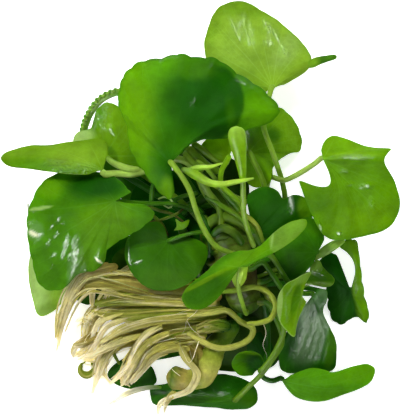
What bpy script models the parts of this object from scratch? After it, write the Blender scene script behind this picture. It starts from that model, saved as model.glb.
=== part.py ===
"""Floating heart: a young water plant lifted out with its roots, lying on a table.

The stubby crown lies in the middle. Leaf stalks curve out of it on all sides to heart-shaped blades,
and the roots trail away from it to one side. Blender metres, +Z up, origin at the middle of the
footprint on the table. Shapes below are given in millimetres.
"""

import math

import bmesh
import bpy
from mathutils import Vector

MM = 0.001

# Driving dimensions, in millimetres
BLADE_THICKNESS = 0.8
STALK_RADIUS = 1.25
STALK_SIDES_LEVEL = 1
ROOT_SIDES_LEVEL = 2
GAP = 0.35
CROWN_GAP = 0.6
VEIN_RINGS = 3
COLUMNS_PER_MARGIN_POINT = 1.25
STALK_STEP = 8.0

# The crown, a thick stub of rhizome: (x, y, z, radius) along its middle line
CROWN_LINE = (
    (12.0, -4.0, 27.0, 3.5),
    (12.5, -9.0, 27.5, 7.0),
    (15.0, -20.0, 28.0, 8.0),
    (18.5, -33.0, 26.5, 8.0),
    (20.5, -43.0, 24.0, 6.5),
    (21.0, -48.0, 22.5, 3.5),
)
CROWN_SIDES_LEVEL = 4

# Each leaf blade: where its stalk meets it, its edge from one side of the notch round to the other,
# and how far it swells between the two. Heights are above the table.
LEAVES = {
    "top_leaf": {
        "joint": (33, 54.5, 30),
        "edge": (
            (38, 56, 27), (45, 59, 25), (53, 65, 25), (61, 69.8, 27), (53.5, 69.8, 24),
            (48.5, 73.8, 21), (42.6, 79.3, 17), (35, 86, 12), (27.2, 92, 6), (21, 95.3, 1.6),
            (15, 96, 0.6), (9.6, 94, 1), (5.8, 89.5, 3), (3.2, 81.5, 7), (1.8, 73.5, 13),
            (6, 61, 19), (17, 54, 23), (28, 51.5, 27),
        ),
        "swell": 5,
        "colour": "leaf_pale",
    },
    "front_leaf": {
        "joint": (-13, 20.5, 56),
        "edge": (
            (-8, 25, 57), (-3.5, 30.8, 55.5), (3, 32, 54), (12, 33, 52), (23, 36.5, 49),
            (33, 39.5, 47), (36.2, 44.5, 45), (30, 52, 44), (18, 60.5, 43), (6, 68, 41),
            (-2, 68.3, 41), (-10, 69.8, 40), (-19, 67.8, 40), (-29, 65.5, 40), (-34, 60, 41),
            (-36, 50, 43), (-38, 38, 45), (-35, 26, 48), (-27, 17.5, 50), (-19, 8.5, 51),
            (-13.5, 4.3, 52), (-11.3, 7, 53), (-13.3, 14, 55),
        ),
        "swell": 7,
        "colour": "leaf_dark",
    },
    "side_leaf": {
        "joint": (-43, 24, 31),
        "edge": (
            (-47, 27, 29), (-52, 28.5, 26), (-58.2, 31.2, 22), (-55, 35.4, 24), (-49.7, 36.4, 28),
            (-48.2, 41, 31), (-46.2, 45.5, 33), (-42.2, 48.4, 34.5), (-37, 46.5, 36),
            (-28, 40, 36), (-20, 26, 37), (-18, 16, 39), (-21, 12.5, 39), (-29, 18.5, 36),
            (-37, 22.2, 33),
        ),
        "swell": 2.5,
        "colour": "leaf_mid",
    },
    "shade_leaf": {
        "joint": (21, 25, 32.5),
        "edge": (
            (18, 17, 31), (22, 11.5, 30), (29, 9.7, 30), (32.5, 14, 31.5), (33.5, 19.5, 28),
            (36.3, 22.3, 20), (41.4, 25.4, 8), (46, 26.4, 3), (47.5, 30, 0.9), (45.6, 35.5, 1),
            (43.5, 41.5, 2.5), (37, 46.2, 6), (27, 46, 13), (18, 41, 20), (14, 31, 26),
        ),
        "swell": 2,
        "colour": "leaf_mid",
    },
    "tongue_leaf": {
        "joint": (-43.5, 17.5, 47),
        "edge": (
            (-50, 15.3, 50), (-62, 15.8, 50), (-74, 17.6, 45), (-86, 19.1, 37), (-90.5, 22.9, 32),
            (-87.5, 26.2, 28), (-79, 28.5, 28), (-67, 29.3, 30), (-55, 30.9, 33.5),
            (-46.5, 32, 37), (-41.5, 29.4, 40), (-41.4, 23.4, 44),
        ),
        "swell": 2.5,
        "colour": "leaf_pale",
    },
    "left_leaf": {
        "joint": (-38, 3.5, 50),
        "edge": (
            (-31, 7, 50), (-36, 12, 46), (-49, 14.5, 42), (-62, 15.3, 39), (-72.2, 10.3, 36),
            (-77.2, 0.5, 35), (-78.5, -9, 34), (-76.5, -20, 31), (-74.8, -31, 26),
            (-69, -37.3, 22), (-61.5, -36, 25), (-55, -29.3, 30), (-47, -27.7, 31),
            (-42.7, -23, 34), (-42.5, -19, 37), (-32, -12, 43), (-23, -6, 49), (-20, -1.5, 52),
            (-23, 1.5, 53), (-32, 2, 52),
        ),
        "swell": 5,
        "colour": "leaf_fresh",
    },
    "table_leaf_left": {
        "joint": (-62, -14, 12),
        "edge": (
            (-67, -10, 12), (-75, -15, 8), (-78.8, -24, 4), (-79, -32, 2), (-77.4, -41, 1),
            (-74.2, -49.6, 0.5), (-67.6, -47.3, 1), (-60, -39, 5), (-52, -27, 9), (-54, -15, 12),
        ),
        "swell": 2,
        "colour": "leaf_pale",
    },
    "table_leaf_behind": {
        "joint": (-38, -14, 15),
        "edge": (
            (-34, -11, 16), (-33.3, -18, 15), (-36, -25.5, 13), (-41.6, -31.2, 10), (-47, -38, 6),
            (-51, -44.5, 2), (-58, -41, 1), (-55, -32, 5), (-51, -22, 9), (-45, -13, 13),
        ),
        "swell": 1.5,
        "colour": "leaf_deep",
    },
    "disc_leaf": {
        "joint": (-14, -14, 37),
        "edge": (
            (-9, -12.5, 38), (-2, -13.3, 38), (3.7, -18, 37), (2, -25.5, 36), (-4, -33, 34),
            (-13, -36.9, 32), (-22, -36.5, 31), (-30, -30.5, 30), (-34, -22, 30), (-33, -13.5, 32),
            (-27, -7.5, 35), (-19, -5.5, 37), (-15.5, -9, 38),
        ),
        "swell": 2.5,
        "colour": "leaf_deep",
    },
    "spoon_leaf": {
        "joint": (17.5, -26, 51.5),
        "edge": (
            (21, -26, 52), (26, -23, 54), (34, -19, 57), (42, -13.5, 58), (47.3, -8, 57),
            (47.5, -4.5, 54), (41, -5.5, 50), (35, -9, 48), (30, -14, 48), (24, -18, 49),
            (15, -19, 50), (9, -22, 52), (2, -28.5, 55), (-5, -34, 56), (-8.3, -39, 54),
            (-6, -44, 50), (0, -45.2, 47), (7, -41, 46.5), (12, -34, 48.5), (14.5, -28.5, 51),
        ),
        "swell": 0.5,
        "colour": "leaf_fresh",
    },
    "right_leaf": {
        "joint": (55, 22.5, 47),
        "edge": (
            (44, 13.3, 44), (46.3, 6.5, 42), (50, -2, 39), (54, -9, 36), (60, -14, 33),
            (68, -13.2, 31), (79, -10.9, 27), (87.3, -6.3, 27), (90.2, 1.6, 31), (88, 12, 38),
            (82.2, 22.3, 47), (86.3, 27.2, 43), (75, 28, 40), (67, 31.5, 38), (60, 33, 39),
            (55.4, 30, 43), (54.3, 26, 46),
        ),
        "bends": {
            0: (57.6, 10.6, 45), 1: (58.8, 9.2, 44), 2: (60.5, 8, 43), 3: (61.5, 7, 42),
        },
        "swell": 3,
        "colour": "leaf_fresh",
    },
    "notched_leaf": {
        "joint": (69, -37.8, 11),
        "edge": (
            (63.2, -17.9, 21), (66, -14.2, 22), (71, -14, 21), (72.8, -22, 18), (74, -31, 14),
            (75.8, -41, 8), (77.8, -47.5, 3), (77, -52.6, 1), (71.5, -49.5, 1.5),
            (66.5, -52.9, 0.5), (62, -52.2, 0.5), (59, -46, 3.5), (58.3, -39, 8), (56.5, -29, 13),
            (54.5, -22.8, 17), (61.5, -20, 16), (64.7, -27, 14), (67.7, -35.5, 11.5),
        ),
        "bends": {0: (70.6, -25.5, 17), 1: (71.2, -25.5, 17.5), 2: (71.8, -25.8, 17)},
        "swell": 1,
        "colour": "leaf_deep",
    },
    "dark_leaf_right": {
        "joint": (53, -19.5, 33),
        "edge": (
            (51.5, -24, 32), (46, -30, 31), (40, -32, 30.5), (36, -27, 32), (33.5, -18, 33.5),
            (36.5, -10.5, 34), (42, -6, 33.5), (49, -3.5, 32.5), (55, -7, 31), (56.3, -14, 31),
        ),
        "swell": 2,
        "colour": "leaf_deep",
    },
    "under_leaf_left": {
        "joint": (4, -7.5, 25),
        "edge": (
            (0, -14, 24), (-8, -17, 22), (-20, -13, 20), (-29.5, -5, 19), (-32, 5, 19),
            (-27, 13, 20), (-16, 17.5, 22), (-5, 16, 24), (1.5, 5, 25.5),
        ),
        "swell": 2,
        "colour": "leaf_deep",
    },
    "under_leaf_right": {
        "joint": (21.5, -54, 13),
        "edge": (
            (27, -52, 12), (35, -54, 8), (37, -62, 5), (35.5, -71, 2.5), (29, -74.3, 1.5),
            (20, -73, 1.5), (17.5, -67, 4), (17, -60, 9),
        ),
        "swell": 1.5,
        "colour": "leaf_deep",
    },
    "small_leaf_right": {
        "joint": (49.5, -30, 25),
        "edge": (
            (50, -25.5, 26), (53.5, -23, 26), (57.5, -28.5, 26), (61.2, -31.5, 25),
            (59, -35.6, 24), (51, -34.5, 25), (46.5, -36, 25),
        ),
        "swell": 1.5,
        "colour": "leaf_mid",
    },
    "dark_leaf_middle": {
        "joint": (24.5, -10.5, 28.5),
        "edge": (
            (23.3, -4, 31), (21.7, 1, 34), (21.5, 6.3, 36.5), (28.5, 10.2, 37.3), (35, 8.5, 36.5),
            (37.5, 4.5, 35), (42, 7, 34), (48.5, 4.5, 31.5), (51, -2, 28), (50, -9, 27),
            (43, -14, 28), (33, -15, 28.5),
        ),
        "swell": 1.5,
        "colour": "leaf_deep",
    },
    "curled_leaf": {
        "joint": (46, -39, 34),
        "edge": (
            (46, -36, 34), (50.4, -28.4, 36), (44.5, -30.5, 40), (38.5, -34, 42), (35, -40, 42),
            (34.7, -47, 41), (37.5, -53.5, 38), (42.7, -58, 34), (43.5, -53, 32),
            (45.5, -47, 31.5), (48.5, -42, 32),
        ),
        "swell": -1.5,
        "colour": "leaf_pale",
    },
    "hanging_leaf": {
        "joint": (51, -39.5, 28),
        "edge": (
            (53, -36.4, 30), (57.7, -37, 30), (57, -43, 28), (55.6, -46.5, 27), (59, -53, 23),
            (62.2, -61, 17), (62.6, -67.5, 10), (61.6, -74.4, 4), (52, -75.6, 2.5), (42, -74, 3),
            (38.3, -68.5, 7), (40.5, -60.5, 14), (44, -52, 21), (46.5, -44.5, 25.5),
        ),
        "swell": 3,
        "colour": "leaf_dark",
    },
    "corner_leaf": {
        "joint": (37.7, -78.5, 10),
        "edge": (
            (41.6, -76, 10.5), (46, -74.2, 10.5), (51, -73, 10), (56.2, -73.3, 9.5),
            (61.2, -74.5, 9), (66.4, -73.8, 8), (71.6, -71.9, 7), (76.7, -70.8, 6),
            (80.3, -73.4, 4.5), (78.7, -78.7, 3), (73.6, -81.8, 2), (66.5, -84.9, 1.2),
            (59.4, -87.3, 0.7), (53.3, -88.4, 0.5), (47.1, -87.4, 1), (42, -83.8, 4),
            (39.3, -80.4, 8),
        ),
        "swell": 3,
        "colour": "leaf_fresh",
    },
    "bottom_leaf": {
        "joint": (16, -87, 8),
        "edge": (
            (15.4, -92.2, 1), (22.3, -92.2, 0.5), (26.4, -88.6, 0.7), (26.6, -85.4, 2),
            (24.5, -80.7, 5), (20, -77.8, 7), (12, -76, 8), (3, -75.8, 8), (-7, -77.6, 6),
            (-17, -80.5, 3.5), (-23, -82, 2), (-23, -86, 0.8), (-21.4, -90.2, 0.5),
            (-8, -90.4, 0.5), (5, -91.6, 0.5),
        ),
        "swell": 2,
        "colour": "leaf_deep",
    },
    "cup_leaf": {
        "joint": (27.5, -73, 19),
        "edge": (
            (24, -76.2, 18), (18, -76, 18), (14.3, -71, 20), (16.5, -66.3, 23), (22, -64.4, 25),
            (27.5, -66.3, 25), (29.2, -70, 22.5),
        ),
        "swell": -4,
        "colour": "leaf_mid",
    },
    "table_leaf_roots": {
        "joint": (-26, -68, 6.5),
        "edge": (
            (-31, -66, 6), (-37.5, -70, 4.5), (-43, -76, 2), (-39, -81, 0.5), (-31.5, -83, 0.5),
            (-20, -80.5, 1), (-21.5, -73, 4),
        ),
        "swell": 1,
        "colour": "leaf_deep",
    },
    "inner_leaf": {
        "joint": (13, 23, 42),
        "edge": (
            (14.6, 27, 42), (11.5, 31, 41), (5.5, 31.3, 41), (0.8, 27.8, 41), (5, 24.3, 42),
            (10, 21.7, 42),
        ),
        "swell": 1.5,
        "colour": "leaf_yellow",
    },
    "sprout": {
        "joint": (-7.5, -9, 43.5),
        "edge": (
            (-11.8, -9.8, 43), (-10.4, -7.3, 44), (-11, -4.3, 44.5), (-8.2, -6, 45),
            (-4.8, -4.8, 45), (-5.6, -8, 44),
        ),
        "swell": 0.3,
        "colour": "leaf_yellow",
    },
}

# Each leaf stalk: the points it passes on its way from the crown to its blade, the side of the
# blade it joins (1 is the upper side), and where it leaves the crown: a place along the crown,
# 0 to 1, and a compass direction round it, 0 up, 90 right, 270 left.
STALKS = {
    "top_leaf": {
        "from": (0.33, 95), "side": 1,
        "via": (
            (31, -12, 22.5), (36.5, -4, 22.5), (38.6, 4, 23), (37.3, 12.5, 25.5),
            (35.3, 18.5, 30.5), (32.8, 25.5, 34), (28.6, 38, 36), (30.5, 48, 34.5),
        ),
    },
    "front_leaf": {
        "from": (0.38, 0), "side": 1,
        "via": (
            (13, -19.5, 42), (7, -16.5, 47), (1.5, -8.5, 51), (-2, 0, 54), (-4.5, 8, 57),
            (-8.5, 15, 59),
        ),
    },
    "side_leaf": {
        "from": (0.28, 290), "side": -1,
        "via": (
            (0, -6, 34), (-8, 3, 31), (-18, 10, 29), (-28, 16.8, 28.5), (-36, 21, 28.5),
        ),
    },
    "shade_leaf": {
        "from": (0.2, 100), "side": 1,
        "via": (
            (25.5, -6, 25), (28.3, 2, 29.5), (29.3, 9, 33.4), (27.5, 15, 35), (24.5, 21, 36),
        ),
    },
    "tongue_leaf": {
        "from": (0.14, 345), "side": -1,
        "via": (
            (8.5, 1, 38.5), (4, 7, 40.5), (0, 14, 42), (-5, 20.5, 43.5), (-11, 22.5, 44),
            (-20, 19, 43.5), (-30, 15.8, 43), (-38, 16, 44),
        ),
    },
    "left_leaf": {
        "from": (0.22, 315), "side": -1,
        "via": (
            (1, -3.5, 37.5), (-11, 2, 38.5), (-24, 2.5, 42), (-33, 3.2, 46),
        ),
    },
    "table_leaf_left": {
        "from": (0.52, 262), "side": -1,
        "via": (
            (0, -25.5, 17), (-12, -25, 10), (-26, -19, 8.3), (-42, -9, 8), (-54, -10, 8.5),
        ),
    },
    "table_leaf_behind": {
        "from": (0.42, 262), "side": -1,
        "via": (
            (-1, -20, 20), (-14, -18.5, 14.5), (-28, -14, 12),
        ),
    },
    "disc_leaf": {
        "from": (0.33, 300), "side": 1,
        "via": (
            (3, -11, 39), (-4, -11, 41), (-9.5, -12.5, 41),
        ),
    },
    "spoon_leaf": {
        "from": (0.9, 0), "side": -1,
        "via": (
            (20.3, -46.2, 35.5), (19.1, -42.6, 41), (17.4, -36.5, 45), (17, -31, 47.5),
        ),
    },
    "right_leaf": {
        "from": (0.28, 118), "side": -1,
        "via": (
            (27, -8, 20), (30, 2, 19.5), (30.4, 9.5, 20.5), (32, 14.4, 25.5), (35.2, 13.6, 30),
            (38, 13, 33), (45, 16.2, 39.5), (52, 20.8, 44.5),
        ),
    },
    "notched_leaf": {
        "from": (0.72, 110), "side": -1,
        "via": (
            (36, -34, 17), (48, -36, 9.5), (60, -38.5, 4.8), (66, -38.5, 6.5),
        ),
    },
    "dark_leaf_right": {
        "from": (0.52, 95), "side": -1,
        "via": (
            (33, -22, 24), (44, -22, 26), (50, -20.5, 29),
        ),
    },
    "small_leaf_right": {
        "from": (0.66, 80), "side": -1,
        "via": (
            (34, -30.5, 26), (43, -30.5, 22.5),
        ),
    },
    "curled_leaf": {
        "from": (0.52, 35), "side": -1,
        "via": (
            (28, -24, 38.5), (32.5, -29.5, 38), (38, -37, 36), (42, -39, 34),
        ),
    },
    "hanging_leaf": {
        "from": (0.44, 50), "side": -1,
        "via": (
            (31, -20.5, 38), (36.5, -28, 36.5), (41, -34.5, 31.5), (46.5, -38.2, 27.5),
        ),
    },
    "corner_leaf": {
        "from": (0.88, 115), "side": -1,
        "via": (
            (30.5, -50, 17), (31, -57, 13.5), (31, -66, 12), (28.5, -76.5, 10), (33, -78.8, 9),
        ),
    },
    "bottom_leaf": {
        "from": (0.86, 90), "side": 1,
        "via": (
            (34, -49, 22), (37.5, -60, 20.5), (33, -68.5, 19), (27.5, -76, 16.5), (21, -82.5, 13),
        ),
    },
    "cup_leaf": {
        "from": (0.82, 60), "side": 1,
        "via": (
            (34, -46, 31), (38, -54, 29), (35.5, -62, 26.5), (31, -69.5, 24),
        ),
    },
    "table_leaf_roots": {
        "from": (0.96, 195), "side": 1,
        "via": (
            (17, -54, 12), (8, -60, 9.3), (0, -63.5, 8.2), (-12, -66.8, 8),
        ),
    },
    "inner_leaf": {
        "from": (0.16, 40), "side": 1,
        "via": (
            (18.5, 1, 38), (14.5, 6, 41), (9.5, 11, 43.5), (9.6, 17, 44.5), (11.7, 21, 45),
        ),
    },
}

# The rolled young leaf, the young shoot, the stolons and the rhizome: (x, y, z, radius)
ROUNDS = {
    "bud": {
        "line": (
            (24.4, -17.3, 41, 1.1), (21.8, -10.5, 46, 1.15), (19.8, -3, 50, 1.2),
            (19.3, 5, 53.5, 1.25), (19.1, 12, 56.5, 1.35), (18.6, 18, 58, 1.8),
            (17.7, 24, 59.7, 2.6), (16.8, 29.5, 61, 3.4), (16.3, 33.2, 61.7, 3.5),
            (16.1, 35.8, 62, 2.4), (16.1, 36.8, 62, 0.8),
        ),
        "colour": "leaf_yellow",
    },
    "pale_lobe": {
        "line": (
            (25.5, -31, 21, 1.0), (36, -27, 20, 1.1), (46, -24.3, 21, 1.2), (52.5, -22, 24, 1.3),
            (56, -19.5, 26, 2.1), (60.5, -16.6, 27, 2.2), (64, -14.9, 27, 1.4),
            (65.8, -14.3, 27, 0.5),
        ),
        "colour": "leaf_pale",
    },
    "beaded_stem": {
        "line": (
            (-53.6, 33.5, 20.5, 1.3), (-52.7, 38, 25, 1.6), (-50.3, 43.5, 29, 1.6),
            (-46.2, 48.8, 32, 1.6), (-41.2, 51.9, 34, 1.6), (-36, 52.8, 35, 1.5),
            (-29, 50, 36, 1.2),
        ),
        "colour": "leaf_mid",
    },
    "shoot": {
        "line": (
            (-8.4, 18, 54.5, 1.2), (-3.5, 16, 55.5, 2.1), (1, 13.4, 56, 1.9), (4, 11.8, 56.4, 1.7),
            (9, 11, 57, 1.5), (17, 12.3, 59.8, 1.2), (24, 13.6, 61.5, 0.5),
        ),
        "colour": "leaf_yellow",
    },
    "shoot_prong": {
        "line": (
            (-6.3, 17.2, 55, 0.9), (-1, 18.4, 54.6, 1.3), (4, 18.7, 54.2, 1.1),
            (10.3, 20.5, 54, 0.4),
        ),
        "colour": "leaf_yellow",
    },
    "stolon_upper": {
        "line": (
            (9.8, -37.5, 30, 1.6), (17, -36.5, 37, 1.6), (25.5, -35.3, 38.5, 1.6),
            (32, -39, 37, 1.6), (34, -44.5, 35, 1.6), (31.8, -49.5, 34, 1.6),
            (26.5, -51.5, 33, 1.5), (21.5, -51.8, 30, 1.2),
        ),
        "colour": "rhizome",
    },
    "stolon_lower": {
        "line": (
            (-6, -48.5, 26, 1.2), (4, -47.3, 28.5, 1.6), (12, -46, 30, 1.8), (18.3, -51, 27, 1.8),
            (24, -54.5, 24.5, 1.8), (22.5, -59, 23, 1.8), (16, -62.5, 22, 1.8),
            (8, -63.2, 22, 1.9), (1, -60.3, 23.5, 1.8), (-6, -56, 24, 1.4),
        ),
        "colour": "rhizome",
    },
    "rhizome": {
        "line": (
            (17, -51.5, 17, 2.5), (13, -56, 16, 3.2), (7, -63, 15, 4.0), (4, -71, 14, 4.4),
            (1, -77, 13, 4.2), (-6, -78, 13.5, 3.6), (-12, -77, 14, 4.2), (-15.5, -76.5, 14, 2.8),
        ),
        "colour": "rhizome",
    },
    "root_far": {
        "line": (
            (7, -35.5, 22, 3.0), (-8, -37, 23, 4.2), (-26, -35.5, 24, 4.4), (-41, -33, 24, 4.3),
            (-50.5, -33, 23.5, 4.2), (-57, -38, 19.5, 3.4), (-61.4, -46, 13, 2.6),
            (-64.4, -56, 6.5, 1.5), (-65.6, -65.3, 1.6, 0.5),
        ),
        "colour": "root",
    },
    "root_upper": {
        "line": (
            (9, -42.5, 15.5, 2.5), (-8, -44.8, 14.5, 4.0), (-26, -45, 14.5, 4.4),
            (-40, -45.5, 14, 4.4), (-48, -50.5, 12, 4.0), (-50.5, -58, 9, 3.2),
            (-53, -64.5, 5, 2.2), (-58.5, -66.5, 1.5, 0.7),
        ),
        "colour": "root",
    },
    "root_middle": {
        "line": (
            (12, -48.8, 10.5, 2.0), (-4, -51.8, 8, 3.6), (-20, -55.2, 6.5, 4.0),
            (-33, -58.5, 5.6, 3.8), (-42.5, -64, 4.6, 3.0), (-46.2, -73, 3, 1.9),
            (-49.5, -84.5, 0.9, 0.5),
        ),
        "colour": "root",
    },
    "root_lower": {
        "line": (
            (3, -56, 19, 1.8), (-9, -57.6, 18.5, 3.2), (-20, -60.2, 16.5, 3.4),
            (-27.5, -65.5, 13.5, 3.3), (-32.5, -72.5, 9.5, 2.7), (-36.8, -80.5, 5, 1.2),
        ),
        "colour": "root",
    },
    "root_white": {
        "line": (
            (-9, -61.9, 24, 1.2), (-6.5, -68, 24, 1.5), (-1.5, -74.5, 22.5, 1.4),
            (-4.5, -82.2, 17, 1.2), (-13, -86.3, 9.5, 1.0), (-18.2, -89.4, 4.5, 0.8),
            (-19.6, -94.6, 1.0, 0.4),
        ),
        "colour": "root",
    },
    "root_grey": {
        "line": (
            (-18.2, -81.6, 8, 0.9), (-25, -82.3, 6, 1.0), (-33, -84.6, 4, 1.1),
            (-42.1, -90.2, 1.2, 0.5),
        ),
        "colour": "root",
    },
}

# Colours (linear), roughness. The blades are wet and shiny.
FINISHES = {
    "leaf_fresh": ((0.080, 0.270, 0.012), 0.28),
    "leaf_mid": ((0.070, 0.230, 0.014), 0.30),
    "leaf_dark": ((0.035, 0.150, 0.010), 0.25),
    "leaf_deep": ((0.022, 0.100, 0.008), 0.30),
    "leaf_pale": ((0.260, 0.440, 0.055), 0.35),
    "leaf_yellow": ((0.260, 0.440, 0.015), 0.35),
    "stalk": ((0.240, 0.380, 0.050), 0.38),
    "rhizome": ((0.210, 0.220, 0.035), 0.45),
    "root": ((0.480, 0.430, 0.200), 0.50),
}


def clear_scene():
    for old in list(bpy.data.objects):
        bpy.data.objects.remove(old)


def plant_collection():
    plant = bpy.data.collections.new("floating_heart")
    bpy.context.scene.collection.children.link(plant)
    return plant


def finish(name):
    """One Principled material for each colour of the plant."""
    material = bpy.data.materials.get(name)
    if material:
        return material
    colour, roughness = FINISHES[name]
    material = bpy.data.materials.new(name)
    material.use_nodes = True
    shader = material.node_tree.nodes["Principled BSDF"]
    shader.inputs["Base Color"].default_value = (*colour, 1.0)
    shader.inputs["Roughness"].default_value = roughness
    shader.inputs["Metallic"].default_value = 0.0
    return material


def spacing(points):
    """How far along a curve each of its points comes, closer points counting for more."""
    marks = [0.0]
    for here, there in zip(points, points[1:]):
        marks.append(marks[-1] + math.sqrt(math.dist(here[:3], there[:3])))
    return marks


def slope(before, here, after, gap_before, gap_after):
    """How fast one coordinate changes at the middle one of three points."""
    whole = (after - before) / (gap_before + gap_after)
    return (here - before) / gap_before - whole + (after - here) / gap_after


def on_curve(points, place, marks=None):
    """A smooth curve through points, at place 0 to 1 along them. Points may carry a radius."""
    marks = marks or spacing(points)
    at = place * marks[-1]
    span = max(k for k in range(len(points) - 1) if k == 0 or marks[k] <= at)
    width = marks[span + 1] - marks[span]
    t = (at - marks[span]) / width
    values = []
    for axis in range(len(points[0])):
        start = points[span][axis]
        end = points[span + 1][axis]
        leave = arrive = (end - start) / width
        if span > 0:
            leave = slope(points[span - 1][axis], start, end, marks[span] - marks[span - 1], width)
        if span + 2 < len(points):
            arrive = slope(start, end, points[span + 2][axis], width, marks[span + 2] - marks[span + 1])
        rise = end - start
        values.append(
            start + t * width * leave
            + t * t * (3 * rise - width * (2 * leave + arrive))
            + t * t * t * (width * (leave + arrive) - 2 * rise)
        )
    return tuple(values)


def face_direction(joint, edge):
    """The way the upper side of a blade faces, from its joint and its edge."""
    ring = [Vector(joint)] + [Vector(p) for p in edge]
    total = Vector()
    for here, there in zip(ring, ring[1:] + ring[:1]):
        total += (here - ring[0]).cross(there - ring[0])
    total.normalize()
    return -total if total.z < 0 else total


def ray_middles(leaf):
    """The point half way from the joint to each point of the edge, swollen or bent aside."""
    joint = Vector(leaf["joint"])
    rise = leaf["swell"] * face_direction(leaf["joint"], leaf["edge"])
    longest = max((Vector(p) - joint).length for p in leaf["edge"])
    bends = leaf.get("bends", {})
    middles = []
    for number, point in enumerate(leaf["edge"]):
        ray = Vector(point) - joint
        middles.append(bends.get(number, joint + ray / 2 + rise * ray.length / longest))
    return middles


def blade_place(leaf, middles, along, out):
    """A point of the blade: along its edge 0 to 1, and out from the joint 0 to the edge 1."""
    joint = Vector(leaf["joint"])
    marks = spacing(leaf["edge"])
    edge = Vector(on_curve(leaf["edge"], along, marks))
    middle = Vector(on_curve(middles, along, marks))
    inner = (1 - out) * (1 - 2 * out)
    outer = out * (2 * out - 1)
    return inner * joint + 4 * out * (1 - out) * middle + outer * edge


def make_blade(name, leaf, plant):
    """A thin heart-shaped shell that fans out from the stalk's joint."""
    columns = round(COLUMNS_PER_MARGIN_POINT * (len(leaf["edge"]) - 1))
    shape = bmesh.new()
    bmesh.ops.create_grid(shape, x_segments=columns, y_segments=VEIN_RINGS, size=0.5)
    middles = ray_middles(leaf)
    for vertex in shape.verts:
        vertex.co = blade_place(leaf, middles, vertex.co.x + 0.5, vertex.co.y + 0.5) * MM
    bmesh.ops.remove_doubles(shape, verts=shape.verts, dist=0.01 * MM)
    mesh = bpy.data.meshes.new(name)
    shape.to_mesh(mesh)
    shape.free()
    mesh.shade_smooth()
    mesh.materials.append(finish(leaf["colour"]))
    blade = bpy.data.objects.new(name, mesh)
    plant.objects.link(blade)
    shell = blade.modifiers.new("thickness", "SOLIDIFY")
    shell.thickness = BLADE_THICKNESS * MM
    shell.offset = 0
    return blade


def make_round(name, line, colour, plant, sides_level=STALK_SIDES_LEVEL):
    """A round stem along a smooth line of (x, y, z, radius)."""
    # one straight piece about every STALK_STEP, and never fewer than the line's own spans
    length = sum((Vector(b[:3]) - Vector(a[:3])).length for a, b in zip(line, line[1:]))
    steps = max(len(line) - 1, round(length / STALK_STEP))
    curve = bpy.data.curves.new(name, "CURVE")
    curve.dimensions = "3D"
    curve.bevel_depth = MM
    curve.bevel_resolution = sides_level
    curve.use_fill_caps = True
    spline = curve.splines.new("POLY")
    spline.points.add(steps)
    for number, point in enumerate(spline.points):
        x, y, z, radius = on_curve(line, number / steps)
        point.co = (x * MM, y * MM, z * MM, 1)
        point.radius = radius
    curve.materials.append(finish(colour))
    stem = bpy.data.objects.new(name, curve)
    plant.objects.link(stem)
    return stem


def as_mesh(stem, collection):
    """Swaps a curve object for a closed mesh of the same name."""
    name = stem.name
    place = stem.matrix_world.copy()
    evaluated = stem.evaluated_get(bpy.context.evaluated_depsgraph_get())
    mesh = bpy.data.meshes.new_from_object(evaluated)
    bpy.data.objects.remove(stem)
    shape = bmesh.new()
    shape.from_mesh(mesh)
    bmesh.ops.remove_doubles(shape, verts=shape.verts, dist=0.001 * MM)
    shape.to_mesh(mesh)
    shape.free()
    solid = bpy.data.objects.new(name, mesh)
    solid.matrix_world = place
    collection.objects.link(solid)
    return solid


def fork_shoot(plant):
    """Joins the shoot's short prong to its long one."""
    helpers = bpy.data.collections.new("helpers")
    bpy.context.scene.collection.children.link(helpers)
    shoot = as_mesh(bpy.data.objects["shoot"], plant)
    prong = as_mesh(bpy.data.objects["shoot_prong"], helpers)
    prong.hide_render = True
    prong.display_type = "WIRE"
    union = shoot.modifiers.new("prong", "BOOLEAN")
    union.operation = "UNION"
    union.solver = "EXACT"
    union.object = prong


def crown_exit(place, compass):
    """Where a stalk leaves the crown, and which way."""
    middle = on_curve(CROWN_LINE, place)
    ahead = on_curve(CROWN_LINE, min(place + 0.02, 1))
    behind = on_curve(CROWN_LINE, max(place - 0.02, 0))
    axis = Vector(ahead[:3]) - Vector(behind[:3])
    axis.normalize()
    right = axis.cross(Vector((0, 0, -1))).normalized()
    up = right.cross(axis)
    if up.z < 0:
        up = -up
    if right.x < 0:
        right = -right
    turn = math.radians(compass)
    away = math.sin(turn) * right + math.cos(turn) * up
    return Vector(middle[:3]) + away * (middle[3] + CROWN_GAP), away


def stalk_line(name):
    """A stalk's line from the crown to just short of its blade."""
    leaf = LEAVES[name]
    stalk = STALKS[name]
    start, away = crown_exit(*stalk["from"])
    side = stalk["side"] * face_direction(leaf["joint"], leaf["edge"])
    end = Vector(leaf["joint"]) + side * (BLADE_THICKNESS / 2 + GAP + STALK_RADIUS)
    places = [start, start + away * 2.5] + [Vector(p) for p in stalk["via"]] + [end]
    return [(*p, STALK_RADIUS) for p in places]


def main():
    clear_scene()
    plant = plant_collection()
    make_round("crown", CROWN_LINE, "rhizome", plant, CROWN_SIDES_LEVEL)
    for name, leaf in LEAVES.items():
        make_blade(name, leaf, plant)
    for name in STALKS:
        make_round(f"{name}_stalk", stalk_line(name), "stalk", plant)
    for name, stem in ROUNDS.items():
        sides_level = ROOT_SIDES_LEVEL if stem["colour"] == "root" else STALK_SIDES_LEVEL
        make_round(name, stem["line"], stem["colour"], plant, sides_level)
    fork_shoot(plant)


main()
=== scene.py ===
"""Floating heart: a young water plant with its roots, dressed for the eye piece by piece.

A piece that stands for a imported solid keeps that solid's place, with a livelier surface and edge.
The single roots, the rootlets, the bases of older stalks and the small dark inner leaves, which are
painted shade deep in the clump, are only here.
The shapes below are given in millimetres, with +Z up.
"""

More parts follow.
